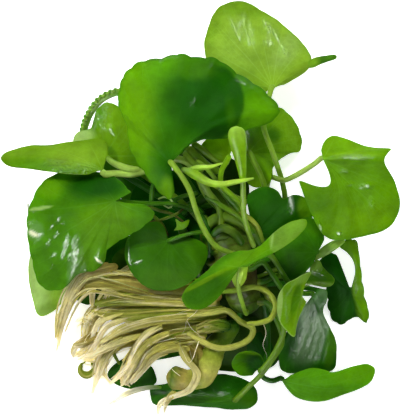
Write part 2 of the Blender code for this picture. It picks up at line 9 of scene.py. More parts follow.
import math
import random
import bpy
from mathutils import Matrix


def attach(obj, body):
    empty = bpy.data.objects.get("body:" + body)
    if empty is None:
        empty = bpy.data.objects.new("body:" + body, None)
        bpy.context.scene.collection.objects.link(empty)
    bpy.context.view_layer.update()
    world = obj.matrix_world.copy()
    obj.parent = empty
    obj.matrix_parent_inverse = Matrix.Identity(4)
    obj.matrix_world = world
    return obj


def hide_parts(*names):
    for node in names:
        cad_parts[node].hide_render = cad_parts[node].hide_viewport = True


bl_info = {
    "name": "Floating heart",
    "version": (1, 0, 0),
    "blender": (4, 5, 0),
    "location": "3D View > Sidebar > Floating heart",
    "description": "A young floating heart, lifted out of the water with its roots",
    "category": "Add Mesh",
}

from collections import namedtuple
from functools import partial

import bpy
import numpy as np
from mathutils import Vector, noise

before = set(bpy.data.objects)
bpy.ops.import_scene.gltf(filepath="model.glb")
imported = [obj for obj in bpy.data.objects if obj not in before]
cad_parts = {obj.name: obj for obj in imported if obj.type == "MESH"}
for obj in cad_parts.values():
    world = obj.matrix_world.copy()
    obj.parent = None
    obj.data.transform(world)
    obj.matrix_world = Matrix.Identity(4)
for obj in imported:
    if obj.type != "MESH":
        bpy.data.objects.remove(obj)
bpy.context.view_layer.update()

MM = 0.001

# How far a stalk's line starts from the crown, and where the solids end it short of the blade (mm)
CROWN_GAP = 0.6
BLADE_GAP = 0.75

# A blade's margin has a rounded tooth every 7 mm and a ripple every 17 mm, and its surface is
# crumpled twice: each crumple has its width and height (mm), what it adds to the blade's seed, and
# how far out (0 to 1) it is full
TOOTH_SPACING = 7
RIPPLE_LENGTH = 17
CRUMPLES = ((11, 1.5, 0, 0.3), (4.2, 0.45, 50, 0.2))

# A fold's height is given in steps of 0.55 mm, and one higher than 0.55 steps holds water
FOLD_HEIGHT = 0.55
DRY_FOLD = 0.55

# The beads of the arched stem, and the middle (x, y) of its arch, which they point away from
BEADS = 36
ARCH_MIDDLE = (-38, 39)

# An old leaf leaves a ring round the crown and the rhizome every 4.2 mm, a runner has a knot every
# 7 mm, and the fibres' own map has a unit for every 6 mm of a stem
SCAR_SPACING = 4.2
KNOT_SPACING = 7
FIBRE_UNIT = 6

# The thin pale roots on top of a bundle, and the turn from one of its thicker roots to the next:
# the golden section of a whole turn, which spreads them evenly
HAIRS = 16
GOLDEN_TURN = 0.381966

# How far ahead, as a share of its length, a line is read to tell its direction
NEAR = 0.02

# The camera's height above the table (m) and its long lens (mm), which keeps the view as flat as
# the photograph's
CAMERA_HEIGHT = 1.607
LENS = 300

# The crown, a thick stub of rhizome: (x, y, z, radius) along its middle line
CROWN_LINE = (
    (12, -4, 27, 3.5), (12.5, -9, 27.5, 7), (15, -20, 28, 8), (18.5, -33, 26.5, 8),
    (20.5, -43, 24, 6.5), (21, -48, 22.5, 3.5),
)

# A leaf blade: the slot of its green, where its stalk meets it, how far it swells between there and
# its edge, its edge from one side of the notch round to the other, and where the middles of single
# rays to that edge are bent aside. Heights are above the table.
Leaf = namedtuple("Leaf", "slot joint swell edge bends", defaults=({},))

LEAVES = {
    "top_leaf": Leaf("leaf_pale", (33, 54.5, 30), 5, (
        (38, 56, 27), (45, 60, 25), (49.5, 64, 25), (50.9, 67.9, 24), (49.4, 72, 22.5),
        (46.6, 75.9, 20), (41.4, 81.3, 16.5), (35, 86.9, 12), (27.6, 91.8, 6), (21, 95.3, 1.6),
        (15, 96, 0.6), (9.6, 94, 1), (5.8, 89.5, 3), (3.2, 81.5, 7), (1.8, 73.5, 13), (6, 61, 19),
        (17, 54, 23), (28, 51.5, 27),
    )),
    "front_leaf": Leaf("leaf_dark", (-13, 20.5, 56), 7, (
        (-8, 25, 57), (-3.6, 29.6, 55.5), (3.1, 30.9, 54), (12, 31.6, 52), (23, 36, 49),
        (33, 39.5, 47), (36.2, 44.5, 45), (30, 52, 44), (18, 60.5, 43), (6, 68, 41),
        (-2, 68.3, 41), (-10, 69.8, 40), (-19, 67.8, 40), (-29, 65.5, 40), (-34.4, 60.6, 41),
        (-36, 55, 42), (-37.2, 49.8, 43), (-36, 44.2, 44.2), (-32.8, 37, 45.4), (-31.5, 27, 48),
        (-26, 17.8, 50), (-19, 8.5, 51), (-13.5, 4.3, 52), (-11.3, 7, 53), (-13.3, 14, 55),
    ), bends={
        1: (-8.9, 26.5, 56.5), 2: (-6.9, 28.3, 57), 3: (-2.7, 31.4, 57.3), 4: (3.6, 34.5, 57.5),
        5: (7.1, 36.9, 57.5), 6: (8, 38.9, 57), 7: (6.5, 41.2, 56.5), 8: (1.6, 41.6, 55.5),
    }),
    "side_leaf": Leaf("leaf_mid", (-43, 24, 31), 2.5, (
        (-47, 27, 29), (-52, 28.5, 26), (-58.2, 31.2, 22), (-55, 35.4, 24), (-49.7, 36.4, 28),
        (-48.2, 41, 31), (-46.2, 45.5, 33), (-42.2, 48.4, 34.5), (-37, 46.5, 36), (-28, 40, 36),
        (-20, 26, 37), (-18, 16, 39), (-21, 12.5, 39), (-29, 18.5, 36), (-37, 22.2, 33),
    )),
    "shade_leaf": Leaf("leaf_mid", (21, 25, 32.5), 2, (
        (18, 17, 31), (22, 11.5, 30), (29, 9.7, 30), (32.5, 14, 31.5), (33.5, 19.5, 28),
        (36.3, 22.3, 20), (41.4, 25.4, 8), (46, 26.4, 3), (47.5, 30, 0.9), (45.6, 35.5, 1),
        (43.5, 41.5, 2.5), (37, 46.2, 6), (27, 46, 13), (18, 41, 20), (14, 31, 26),
    )),
    "tongue_leaf": Leaf("leaf_pale", (-43.5, 17.5, 47), 2.5, (
        (-50, 15.3, 50), (-62, 15.8, 50), (-74, 17.6, 45), (-86, 19.1, 37), (-90.5, 22.9, 32),
        (-87.5, 26.2, 28), (-79, 28.5, 28), (-67, 29.3, 30), (-55, 30.9, 33.5), (-46.5, 32, 37),
        (-41.5, 29.4, 40), (-41.4, 23.4, 44),
    )),
    "left_leaf": Leaf("leaf_fresh", (-38, 3.5, 50), 5, (
        (-31, 7, 50), (-37, 14, 45.5), (-49, 17.2, 41), (-62, 17, 38.5), (-71.8, 11.6, 36),
        (-77.2, 0.5, 35), (-78.5, -9, 34), (-76.5, -20, 31), (-74.8, -31, 26), (-69, -37.3, 22),
        (-61.5, -36, 25), (-55, -29.3, 30), (-47, -27.7, 31), (-42.7, -23, 34), (-42.5, -19, 37),
        (-32, -12, 43), (-23, -6, 49), (-20, -1.5, 52), (-23, 1.5, 53), (-32, 2, 52),
    )),
    "table_leaf_left": Leaf("leaf_pale", (-62, -14, 12), 2, (
        (-67, -10, 12), (-75, -15, 8), (-78.8, -24, 4), (-79, -32, 2), (-77.4, -41, 1),
        (-74.2, -49.6, 0.5), (-67.6, -47.3, 1), (-60, -39, 5), (-52, -27, 9), (-54, -15, 12),
    )),
    "table_leaf_behind": Leaf("leaf_deep", (-38, -14, 15), 1.5, (
        (-34, -11, 16), (-33.3, -18, 15), (-36, -25.5, 13), (-41.6, -31.2, 10), (-47, -38, 6),
        (-51, -44.5, 2), (-58, -41, 1), (-55, -32, 5), (-51, -22, 9), (-45, -13, 13),
    )),
    "disc_leaf": Leaf("leaf_deep", (-14, -14, 37), 2.5, (
        (-9, -12.5, 38), (-2, -13.3, 38), (3.7, -18, 37), (2, -25.5, 36), (-4, -33, 34),
        (-13, -36.9, 32), (-22, -36.5, 31), (-30, -30.5, 30), (-34, -22, 30), (-33, -13.5, 32),
        (-27, -7.5, 35), (-19, -5.5, 37), (-15.5, -9, 38),
    )),
    "spoon_leaf": Leaf("leaf_fresh", (17.5, -26, 51.5), 0.5, (
        (21, -26, 52), (26, -23, 54), (34, -19, 57), (42, -13.5, 58), (47.3, -8, 57),
        (47.5, -4.5, 54), (41, -5.5, 50), (35, -9, 48), (30, -14, 48), (24, -18, 49),
        (15, -19, 50), (9, -22, 52), (2, -28.5, 55), (-5, -34, 56), (-8.3, -39, 54), (-6, -44, 50),
        (0, -45.2, 47), (7, -41, 46.5), (12, -34, 48.5), (14.5, -28.5, 51),
    )),
    "right_leaf": Leaf("leaf_fresh", (55, 22.5, 47), 3, (
        (44, 13.3, 44), (46.3, 6.5, 42), (50, -2, 39), (53.6, -9.4, 36), (59, -14.3, 33),
        (68, -13.6, 31), (79, -11.4, 27), (87.9, -6.8, 27), (90.5, 1.4, 31), (88.2, 12, 38),
        (82.2, 22.3, 47), (86.3, 27.2, 43), (75, 28, 40), (67, 31.5, 38), (60, 33, 39),
        (55.4, 30, 43), (54.3, 26, 46),
    ), bends={
        0: (57.6, 10.6, 45), 1: (58.8, 9.2, 44), 2: (60.5, 8, 43), 3: (61.8, 7.2, 42.3),
        4: (63.2, 6.6, 42), 5: (66, 6, 41.4), 6: (69, 6.6, 40.5),
    }),
    "notched_leaf": Leaf("leaf_deep", (69, -37.8, 11), 1, (
        (63.2, -17.9, 21), (66, -14.2, 22), (71, -14, 21), (72.8, -22, 18), (74, -31, 14),
        (75.8, -41, 8), (77.8, -47.5, 3), (77, -52.6, 1), (71.5, -49.5, 1.5), (66.5, -52.9, 0.5),
        (62, -52.2, 0.5), (59, -46, 3.5), (58.3, -39, 8), (56.5, -29, 13), (54.5, -22.8, 17),
        (61.5, -20, 16), (64.7, -27, 14), (67.7, -35.5, 11.5),
    ), bends={0: (70.6, -25.5, 17), 1: (71.2, -25.5, 17.5), 2: (71.8, -25.8, 17)}),
    "dark_leaf_right": Leaf("leaf_deep", (53, -19.5, 33), 2, (
        (51.5, -24, 32), (46, -30, 31), (40, -32, 30.5), (36, -27, 32), (33.5, -18, 33.5),
        (36.5, -10.5, 34), (42, -6, 33.5), (49, -3.5, 32.5), (55, -7, 31), (56.3, -14, 31),
    )),
    "under_leaf_left": Leaf("leaf_deep", (4, -7.5, 25), 2, (
        (0, -14, 24), (-8, -17, 22), (-20, -13, 20), (-29.5, -5, 19), (-32, 5, 19), (-27, 13, 20),
        (-16, 17.5, 22), (-5, 16, 24), (1.5, 5, 25.5),
    )),
    "under_leaf_right": Leaf("leaf_deep", (21.5, -54, 13), 1.5, (
        (27, -52, 12), (35, -54, 8), (37, -62, 5), (35.5, -71, 2.5), (29, -74.3, 1.5),
        (20, -73, 1.5), (17.5, -67, 4), (17, -60, 9),
    )),
    "small_leaf_right": Leaf("leaf_mid", (49.5, -30, 25), 1.5, (
        (50, -25.5, 26), (53.5, -23, 26), (57.5, -28.5, 26), (61.2, -31.5, 25), (59, -35.6, 24),
        (51, -34.5, 25), (46.5, -36, 25),
    )),
    "dark_leaf_middle": Leaf("leaf_deep", (24.5, -10.5, 28.5), 1.5, (
        (23.3, -4, 31), (21.7, 1, 34), (21.5, 6.3, 36.5), (28.5, 10.2, 37.3), (35, 8.5, 36.5),
        (37.5, 4.5, 35), (42, 7, 34), (48.5, 4.5, 31.5), (51, -2, 28), (50, -9, 27), (43, -14, 28),
        (33, -15, 28.5),
    )),
    "curled_leaf": Leaf("leaf_pale", (46, -39, 34), -1.5, (
        (46, -36, 34), (50.4, -28.4, 36), (44.5, -30.5, 40), (38.5, -34, 42), (35, -40, 42),
        (34.7, -47, 41), (37.5, -53.5, 38), (42.7, -58, 34), (43.5, -53, 32), (45.5, -47, 31.5),
        (48.5, -42, 32),
    )),
    "hanging_leaf": Leaf("leaf_dark", (51, -39.5, 28), 3, (
        (53, -36.4, 30), (57.7, -37, 30), (57, -43, 28), (55.6, -46.5, 27), (59, -53, 23),
        (62.2, -61, 17), (62.6, -67.5, 10), (61.6, -74.4, 4), (52, -76, 2.5), (44, -76.2, 2.3),
        (37.4, -74.4, 3), (36, -68.5, 7), (37.6, -60.5, 14), (42, -52, 20), (46.5, -44.5, 25.5),
    )),
    "corner_leaf": Leaf("leaf_fresh", (37.7, -78.5, 10), 3, (
        (41.6, -76, 10.5), (46, -74.2, 10.5), (51, -73, 10), (56.2, -73.3, 9.5), (61.2, -74.5, 9),
        (66.4, -73.8, 8), (71.6, -71.9, 7), (76.7, -70.8, 6), (80.8, -73.6, 4.5), (79.2, -79.2, 3),
        (73.9, -82.6, 2), (66.7, -85.6, 1.3), (59.4, -88, 0.9), (53, -89, 0.8), (46.8, -88, 1.2),
        (41.6, -84.3, 4), (39.3, -80.4, 8),
    )),
    "bottom_leaf": Leaf("leaf_deep", (16, -87, 8), 2, (
        (14.4, -92.2, 1.2), (22.3, -92.2, 0.9), (26.4, -88.6, 1), (26.6, -85.4, 2),
        (24.5, -80.7, 5), (20, -77.8, 7), (12, -76, 8), (3, -75.8, 8), (-7, -77.6, 6),
        (-17, -80.5, 3.5), (-23, -82, 2), (-23, -86, 1.1), (-21.4, -90.2, 0.9), (-8, -90.4, 0.9),
        (5, -91.8, 0.9), (12, -92.3, 0.9), (16.4, -92.3, 0.9),
    )),
    "cup_leaf": Leaf("leaf_mid", (27.5, -73, 19), -4, (
        (24, -76.2, 18), (18, -76, 18), (14.3, -71, 20), (16.5, -66.3, 23), (22, -64.4, 25),
        (27.5, -66.3, 25), (29.2, -70, 22.5),
    )),
    "table_leaf_roots": Leaf("leaf_deep", (-26, -68, 6.5), 1, (
        (-31, -66, 6), (-37.5, -70, 4.5), (-43, -76, 2), (-39, -81, 0.5), (-31.5, -83, 0.5),
        (-20, -80.5, 1), (-21.5, -73, 4),
    )),
    "inner_leaf": Leaf("leaf_yellow", (13, 23, 42), 1.5, (
        (14.6, 27, 42), (14.2, 31.5, 41), (9, 33.2, 40.5), (4, 32.4, 41), (0.4, 28.2, 41),
        (5, 24.3, 42), (11, 20.6, 42),
    )),
    "sprout": Leaf("leaf_yellow", (-7.5, -9, 43.5), 0.3, (
        (-11.8, -9.8, 43), (-10.4, -7.3, 44), (-11, -4.3, 44.5), (-8.2, -6, 45), (-4.8, -4.8, 45),
        (-5.6, -8, 44),
    )),
}

# Small dark leaves put in the shade of the clump as painted shade, most of them beside the crown
INNER_LEAVES = {
    "inner_shade_top": Leaf("leaf_deep", (11, -8, 19.5), 2, (
        (20, -2, 17), (22.5, 6, 15), (22, 14, 13), (18, 21, 12), (10, 25, 11), (2, 25.8, 11),
        (-5, 27.3, 11.5), (-11.5, 28.6, 12), (-12, 14, 13), (-8, 4, 15), (-3, -5, 17),
    )),
    "inner_shade_right": Leaf("leaf_deep", (24.5, -28, 17.5), 2, (
        (31, -17, 16), (38, -19, 14), (44, -25, 12), (47.5, -32, 10.5), (45, -40, 9.5),
        (39, -47, 9.5), (31, -50, 10.5), (26, -44, 13),
    )),
    "inner_shade_left": Leaf("leaf_deep", (9, -24, 18), 1.5, (
        (4, -14, 15), (-6, -16, 12), (-16, -22, 9.5), (-20, -30, 8), (-17, -38, 7.5),
        (-8, -41, 8.5), (2, -38, 11), (8, -32, 15),
    )),
    "inner_shade_far": Leaf("leaf_deep", (-20, 8, 17), 1.5, (
        (-18, 17, 16), (-26, 23, 15), (-36, 25.5, 14), (-44, 22, 13.5), (-44, 14, 13.5),
        (-38, 6, 14), (-28, 1, 15.5),
    )),
    "inner_shade_front": Leaf("leaf_deep", (17, -36, 14), 1.5, (
        (26, -30, 13), (33, -36, 12), (36, -44, 11), (33, -52, 10), (24, -56, 9.5), (12, -54, 9),
        (2, -48, 9.5), (0, -40, 11), (6, -32, 13),
    )),
    "inner_shade_upper_right": Leaf("leaf_deep", (24, -16, 24), 2, (
        (22, -7, 20), (28.5, -4, 19), (34, -8, 18), (39, -15, 17), (38, -25, 16.5),
        (31, -34, 16.5), (24, -35, 17), (18, -20, 20), (19, -12, 20.5),
    )),
    "inner_shade_mid": Leaf("leaf_deep", (4, -5, 21), 1, (
        (6, 1, 20), (11, -3, 20), (12, -11, 20), (6, -19, 20.5), (-3, -18, 21), (-8, -12, 21),
        (-6, -3, 20.5), (0, 1, 20),
    )),
    "inner_shade_roots": Leaf("leaf_deep", (-30, -22, 20), 1, (
        (-25, -18, 19), (-25, -26, 19.5), (-32, -31, 20), (-39, -30, 20), (-40, -22, 19),
        (-34, -17, 19),
    )),
    "inner_shade_edge": Leaf("leaf_deep", (30, -24, 13), 0.8, (
        (38, -24, 12), (42, -28, 11.5), (41, -33, 11), (36, -36, 11), (29, -35, 11.5),
        (24, -31, 12), (25, -25, 12.5),
    )),
    "inner_shade_low": Leaf("leaf_deep", (19, -50, 14), 1.5, (
        (29, -47, 11), (38, -54, 7), (40, -62, 4.5), (36, -70, 3), (27, -74, 2), (15, -75.2, 1.8),
        (5, -72.5, 2.6), (2, -58, 6), (6, -50, 10),
    )),
    "inner_shade_fringe": Leaf("leaf_deep", (-40, -43, 15), 0.8, (
        (-36, -40, 14), (-37, -33, 14), (-43, -31, 13.5), (-49, -34, 13), (-50.5, -39, 13),
        (-48, -43.5, 13.5),
    )),
}

BLADES = {**LEAVES, **INNER_LEAVES}

# How a blade looks: its main green, the green of its rim, how many veins fan out from the joint,
# how high its margin ripples and its surface crumples, how far the teeth of its margin stand out
# and how light it is. Its patches of another green are ellipses as seen from above: tone, x, y,
# half width, half height, turn in degrees, softness (or that of the left and of the right edge)
# and share. Many patches are painted light and shade: darker where a blade lies in shade or where
# leaves behind it keep light from coming through, lighter where light comes through it, and thin
# pale stripes that are painted highlights. Its raised folds have x and y of both ends, half width
# and height in steps. It is wettest in ellipses too: x, y, half width, half height, turn, how much
# water lies there and how much it glitters.
Look = namedtuple(
    "Look", "tone rim veins ripple crumple scallop light patches folds wet",
    defaults=(0.15, 1, (), (), ()),
)

LOOKS = {
    # a dark leaf put in the shade of the clump as painted shade
    "inner_shade_far": Look("deep", "deep", 5, 0.5, 0.6, patches=(
        ("dark", -30, 14, 8, 8, 0, 0.6, 0.8), ("night", -18, 6, 8, 6, 0, 0.6, 0.8),
    ), folds=((-40, 22, -32, 8, 1.6, 0.8),)),
    "top_leaf": Look("pale", "mid", 9, 0.3, 0.7, scallop=0.2, light=0.72, patches=(
        ("mid", 14, 94, 17, 5, -10, 0.6, 0.8), ("mid", 5, 84, 4, 12, -14, 0.6, 0.5),
        ("mid", 16, 60, 14, 7, -20, 0.6, 0.5), ("chalk", 18, 72, 11, 10, -20, 0.8, 0.15),
        ("chalk", 39, 72, 5, 9, -35, 0.7, 0.45),
    ), folds=(
        (14, 88, 18.2, 76, 0.8, 0.8), (19.5, 89, 22, 74, 0.9, 0.7), (28.5, 88, 31, 82, 0.9, 0.8),
        (32.5, 84, 38, 73, 0.9, 0.7), (24, 75, 24.5, 62, 1.6, -0.5),
        (28.7, 75, 30.5, 63, 0.8, 0.5), (8, 82, 10, 64, 1.5, 0.4), (37, 80, 43, 72, 1, 0.5),
        (25, 84, 27, 72, 1.4, 0.5), (22, 90, 36, 82, 1.2, -0.4),
    ), wet=(
        (21, 82, 3, 7, 20, 0.6, 0.2), (19.6, 87.5, 2.2, 2, 0, 0.7, 0.4),
        (31, 83.4, 1.8, 3.2, 20, 0.7, 0.5), (35, 80.7, 1.8, 2.2, 20, 0.7, 0.4),
        (31, 76, 2.2, 2.2, 0, 0.7, 0.3), (39, 71, 1.6, 3.2, 30, 0.4, 1),
        (14.8, 83, 1.4, 7, 18, 0.8, 0.2),
    )),
    # its darker middle and tail are painted shade, where leaves behind it keep light from coming
    # through it, and its lighter sides are painted light coming through
    "front_leaf": Look("fresh", "dark", 9, 0.8, 0.7, scallop=0.8, patches=(
        ("bright", -27, 46, 9, 24, 0, 0.5, 0.8), ("fresh", -14, 60, 14, 9, 0, 0.5, 0.7),
        ("dark", 9, 60, 18, 8, -25, 0.4, 0.5), ("bright", 27, 43, 9, 8, -10, 0.4, 0.3),
        ("dark", -4, 43, 18, 20, 0, (0.35, 0.1), 0.8),
        ("night", 3.4, 48, 16.4, 17.5, 0, (0.45, 0.05), 0.9), ("deep", -2, 62, 8, 4, 0, 0.6, 0.7),
        ("deep", 14, 40, 2, 8, 10, 0.6, 0.4), ("dark", -14, 18, 7, 12, 15, 0.6, 0.9),
        ("night", -11.5, 14, 3, 8, 15, 0.7, 0.7), ("bright", -15, 8, 3, 6, 0, 0.5, 0.7),
    ), folds=(
        (-31, 62, -33, 46, 1.6, 0.55), (-3.5, 48.5, -1.5, 47, 1.6, 1.1),
        (12, 62, 33, 46, 0.6, 0.7), (-24, 66, -12, 68, 1.2, 0.5), (-6, 30, 14, 33.5, 1.6, 0.5),
        (8, 58, 12, 44, 1.6, 0.5), (-1, 62, -10, 44, 2, 0.5), (2, 38, 14, 42, 1.4, -0.5),
        (-22, 55, -28, 36, 3, -0.5), (5, 66, 22, 60, 1.2, 0.5),
    ), wet=(
        (-3, 47.5, 2.2, 1.6, 0, 0.7, 0), (-18, 68, 9, 1.4, 0, 0.3, 0.6),
        (24, 56, 12, 1.2, -33, 0.35, 0.4), (11, 62, 6, 1.2, -20, 0.35, 0.4),
    )),
    # its Deep green patch beside the front leaf is painted shade
    "side_leaf": Look("mid", "fresh", 7, 0.4, 0.4, scallop=0.3, patches=(
        ("fresh", -48, 41, 4, 9, -25, 0.5, 0.7), ("chalk", -54, 33, 6, 3.5, 10, 0.4, 0.8),
        ("deep", -26, 22, 8, 8, 0, 0.6, 0.8),
    ), folds=(
        (-45.5, 45, -48, 36, 1.2, 0.8), (-57, 32, -49, 35, 1.6, 1.2), (-56, 29, -47, 28, 1.5, 0.9),
        (-41, 38, -38, 33, 1.2, 0.6), (-43, 46, -41, 38, 1.4, -0.5),
    ), wet=((-43.8, 41.8, 3, 5.5, 0, 0.45, 1), (-40.5, 36.5, 1.5, 1.5, 0, 0.6, 0.6))),
    # its Dark green patches near its stalk are painted shade under the edge of the front leaf
    "shade_leaf": Look("mid", "fresh", 7, 0.5, 0.5, scallop=0.4, patches=(
        ("dark", 25, 26, 11, 13, 0, 0.4, 0.5), ("dark", 33.5, 34, 4, 3.5, 0, 0.6, 0.7),
        ("fresh", 22, 40, 10, 7, 0, 0.5, 0.8),
    ), folds=(
        (24, 38, 36, 44, 1.4, 0.5), (30, 30, 44, 36, 1.2, 0.5), (32, 26, 45, 30, 1.2, -0.5),
    ), wet=((22, 33, 4, 5, 0, 0.5, 0.6),)),
    "tongue_leaf": Look("mid", "mid", 5, 0.2, 0.3, scallop=0.1, light=0.77, patches=(
        ("fresh", -70, 18, 24, 4, -4, 0.7, 0.7), ("pale", -56, 24, 12, 5, 0, 0.6, 0.5),
    ), folds=((-80, 23, -52, 22, 3, 0.5),), wet=((-58, 18, 14, 3.4, -6, 0.38, 1),)),
    # its Wet green patches are a painted sheen of light on its film of water, and its thin Chalky
    # and Cream stripes are painted highlights
    "left_leaf": Look("fresh", "fresh", 10, 1, 0.6, scallop=0.5, patches=(
        ("dark", -46, 8, 15, 6.5, 8, 0.4, 0.9), ("night", -47, 11, 12, 5, 0, 0.4, 0.9),
        ("deep", -62, -2, 10, 8, 20, 0.6, 0.8), ("wet", -74, -10, 4, 4, 0, 0.5, 0.8),
        ("wet", -56, -25, 3.5, 11, -12, 0.5, 0.7), ("bright", -42, -7, 13, 10, 0, 0.5, 0.7),
        ("deep", -70, -24, 6, 12, 0, 0.6, 0.2), ("bright", -68, 10, 6, 5, 0, 0.5, 0.6),
        ("bright", -50, -20, 5, 8, 0, 0.6, 0.5), ("chalk", -72, 0.4, 5.5, 0.8, 8, 0.3, 0.7),
        ("cream", -45.6, -23, 2.2, 0.6, -45, 0.3, 0.9), ("cream", -75, -11, 2.6, 1, -20, 0.5, 0.8),
    ), folds=(
        (-76.5, -9, -71, -11, 2.2, 1.3), (-67.5, 1.8, -76.5, -0.9, 0.9, 0.9),
        (-63, -4, -68.4, -9, 0.9, 0.8), (-61.6, -5.9, -64.8, -12.6, 0.9, 0.9),
        (-67, -13.5, -69.8, -17.6, 0.8, 0.8), (-58.5, -10.8, -63, -23.4, 1.2, 1.3),
        (-64.8, -20.3, -68.9, -22.5, 0.8, 0.8), (-67.3, -26, -67, -26.4, 0.7, 0.6),
        (-55.5, -12, -59, -33, 2.2, 1.6), (-52.5, -22, -54, -33, 1.4, 1.2),
        (-46.8, -21.6, -44.1, -24.3, 1.1, 1.3), (-32.4, -1.8, -29.3, -4, 0.8, 0.5),
        (-40, -7, -43, -17, 0.9, 0.5), (-43, -3, -50, -13, 1, 0.5), (-35, 0, -25, -6, 1, 0.4),
        (-44, 2, -60, -2, 1.3, 0.5), (-43, 5, -60, 8, 1.6, 0.5),
    ), wet=(
        (-75, -10, 3.5, 4, 0, 0.6, 0), (-56, -27, 2.6, 8, -10, 0.22, 0.3),
        (-45, -22, 3, 3, 20, 0.5, 0),
    )),
    "table_leaf_left": Look("chalk", "pale", 5, 0.2, 0.3, patches=(
        ("pale", -64, -38, 6, 14, 10, 0.6, 0.8), ("mid", -70, -46, 6, 3, 20, 0.5, 0.5),
    ), folds=((-75, -22, -73, -44, 1.5, 0.5),)),
    "table_leaf_behind": Look("dark", "dark", 5, 0.2, 0.3, patches=(
        ("night", -40, -24, 8, 10, 0, 0.6, 0.7),
    )),
    "disc_leaf": Look("dark", "deep", 7, 0.4, 0.5, light=1.12, patches=(
        ("night", -14, -16, 13, 10, 0, 0.7, 0.5), ("deep", -14, -33, 16, 6, 0, 0.6, 0.6),
        ("moss", -14, -22, 22, 18, 0, 0.5, 0.15), ("deep", -1, -22, 5, 9, 20, 0.5, 0.7),
    ), folds=(
        (-32, -13, -32.3, -25, 0.5, 0.6), (-32, -25.5, -26, -22.6, 0.6, 0.8),
        (-15, -15, -25, -28, 1, 0.35), (-13, -15, -10, -32, 1, 0.35), (-12, -14, -1, -24, 1, 0.35),
    ), wet=((-30, -24, 4, 1.2, 20, 0.3, 0.2),)),
    # its darker lower lobe is painted shade beside the roots, and the thin lighter line along its
    # fold and its Chalky stripe are painted highlights
    "spoon_leaf": Look("fresh", "bright", 5, 0.3, 0.3, scallop=0.2, patches=(
        ("deep", 1, -26, 16, 3.2, 30, 0.4, 0.8), ("dark", 2, -35.5, 11, 5.5, 33, 0.4, 0.6),
        ("mid", 3.2, -31.4, 13, 1, 28, 0.4, 0.9), ("bright", 20, -22, 13, 3, 28, 0.5, 0.8),
        ("slate", 41.5, -11.5, 12, 8, 35, (0.03, 0.2), 0.85),
        ("moss", 40, -11, 10, 6, 35, 0.6, 0.35), ("chalk", 32.2, -13.6, 0.5, 4, -8, 0.5, 0.45),
    ), folds=(
        (31.8, -19, 33, -9, 0.8, 0.5), (-8, -36.7, 14, -25.2, 1.2, 0.55),
        (2, -38, 10, -32, 1.4, 0.5), (38, -14, 45, -7, 1.6, 0.4), (12, -21, 26, -15, 1.4, -0.6),
    ), wet=((35, -10, 3, 3, 35, 0.5, 0.8), (33, -15, 2.5, 5, 10, 0.5, 0.5))),
    # the thin Deep green line under its crease is a painted crease shadow and the thin Lime green
    # line on the crease a painted highlight; the Deep green patch by its notch is painted shade
    "right_leaf": Look("bright", "fresh", 9, 0.6, 0.7, scallop=0.1, patches=(
        ("deep", 53, 4, 5, 8, 20, 0.9, 0.5), ("mid", 64, 27.5, 12, 4.5, 0, 0.5, 0.5),
        ("deep", 70, 21, 13, 1, 0, 0.6, 0.4), ("lime", 76, -4, 13, 6, 10, 0.7, 0.4),
        ("lime", 70, 24.5, 13, 1, 0, 0.4, 0.5),
    ), folds=(
        (60, 23.6, 80, 23.2, 1.1, 0.9), (60, 21.4, 80, 21, 1, -0.5), (57.5, 26.5, 63, 27, 1, 0.5),
        (64, 10.5, 70, 11, 1.2, 0.5), (70, 9.5, 79, 11, 1.2, 0.55), (76, 4, 79, -2, 1, 0.5),
        (52, -4, 57, -11, 1.3, 0.55), (60, -10, 66, -12, 1.3, 0.55), (64, 17, 69, 16, 1, 0.5),
        (84, 14, 88, 0, 1.6, -0.5), (62, 0, 75, -5, 3, 0.5),
    ), wet=(
        (68.5, 23.5, 8, 1, 0, 0.9, 0.6), (67.5, 11.2, 2.2, 0.9, 0, 0.7, 1),
        (75, 10.3, 3.4, 1.3, 10, 0.8, 1), (77.5, 3, 1.2, 2.5, 15, 0.25, 1),
        (54, -7.5, 0.8, 2.5, 20, 0.7, 1), (63, -11.2, 1.2, 1, 0, 0.9, 1),
        (65, 17, 2.5, 1, 0, 0.2, 0.8),
    )),
    "notched_leaf": Look("night", "deep", 5, 0.3, 0.3, scallop=0.9, patches=(
        ("bright", 72, -30, 3.5, 20, 8, 0.25, 0.95), ("bright", 76, -46, 4, 6, 0, 0.3, 0.9),
        ("bright", 66, -18, 7, 3.5, -10, 0.3, 0.8), ("dark", 66, -46, 6, 6, 0, 0.6, 0.5),
    ), folds=(
        (73, -20, 76, -40, 1, 0.5), (60, -24, 64, -44, 1.4, 0.4), (66, -30, 68, -48, 1.2, -0.4),
    ), wet=((73, -30, 3, 14, 6, 0.15, 0.1),)),
    # its Misty green patch is a painted sheen of light on its film of water
    "dark_leaf_right": Look("dark", "deep", 7, 0.3, 0.5, scallop=0.2, patches=(
        ("mist", 40, -20, 4, 9, 10, 0.7, 0.15), ("deep", 44, -17, 12, 12, 0, 0.6, 0.4),
        ("deep", 52, -7, 6, 5, 0, 0.5, 0.8),
    ), folds=(
        (37, -14, 41, -27, 1.3, 0.5), (44, -8, 47, -20, 1.2, -0.5), (49, -12, 46, -25, 1.4, 0.5),
        (40, -10, 52, -8, 1.3, 0.5),
    )),
    # the two under leaves are dark sheets in the Night green, painted shade between the others
    "under_leaf_left": Look("night", "night", 5, 0.2, 0.4),
    "under_leaf_right": Look("night", "dark", 5, 0.2, 0.4),
    "small_leaf_right": Look("deep", "slate", 5, 0.4, 0.3, scallop=0.6, patches=(
        ("slate", 51, -26, 5, 3, 30, 0.5, 0.8), ("slate", 53, -34.5, 8, 1.6, 0, 0.4, 0.8),
    ), folds=(
        (47, -34.5, 58, -33.6, 0.9, 0.9), (50, -27.5, 57, -30, 1, 0.9),
        (51, -30, 55, -32, 1, -0.6),
    ), wet=((52, -28, 5, 3, 0, 0.25, 0.1),)),
    # its thin Silvery green stripe is a painted highlight along a wet fold
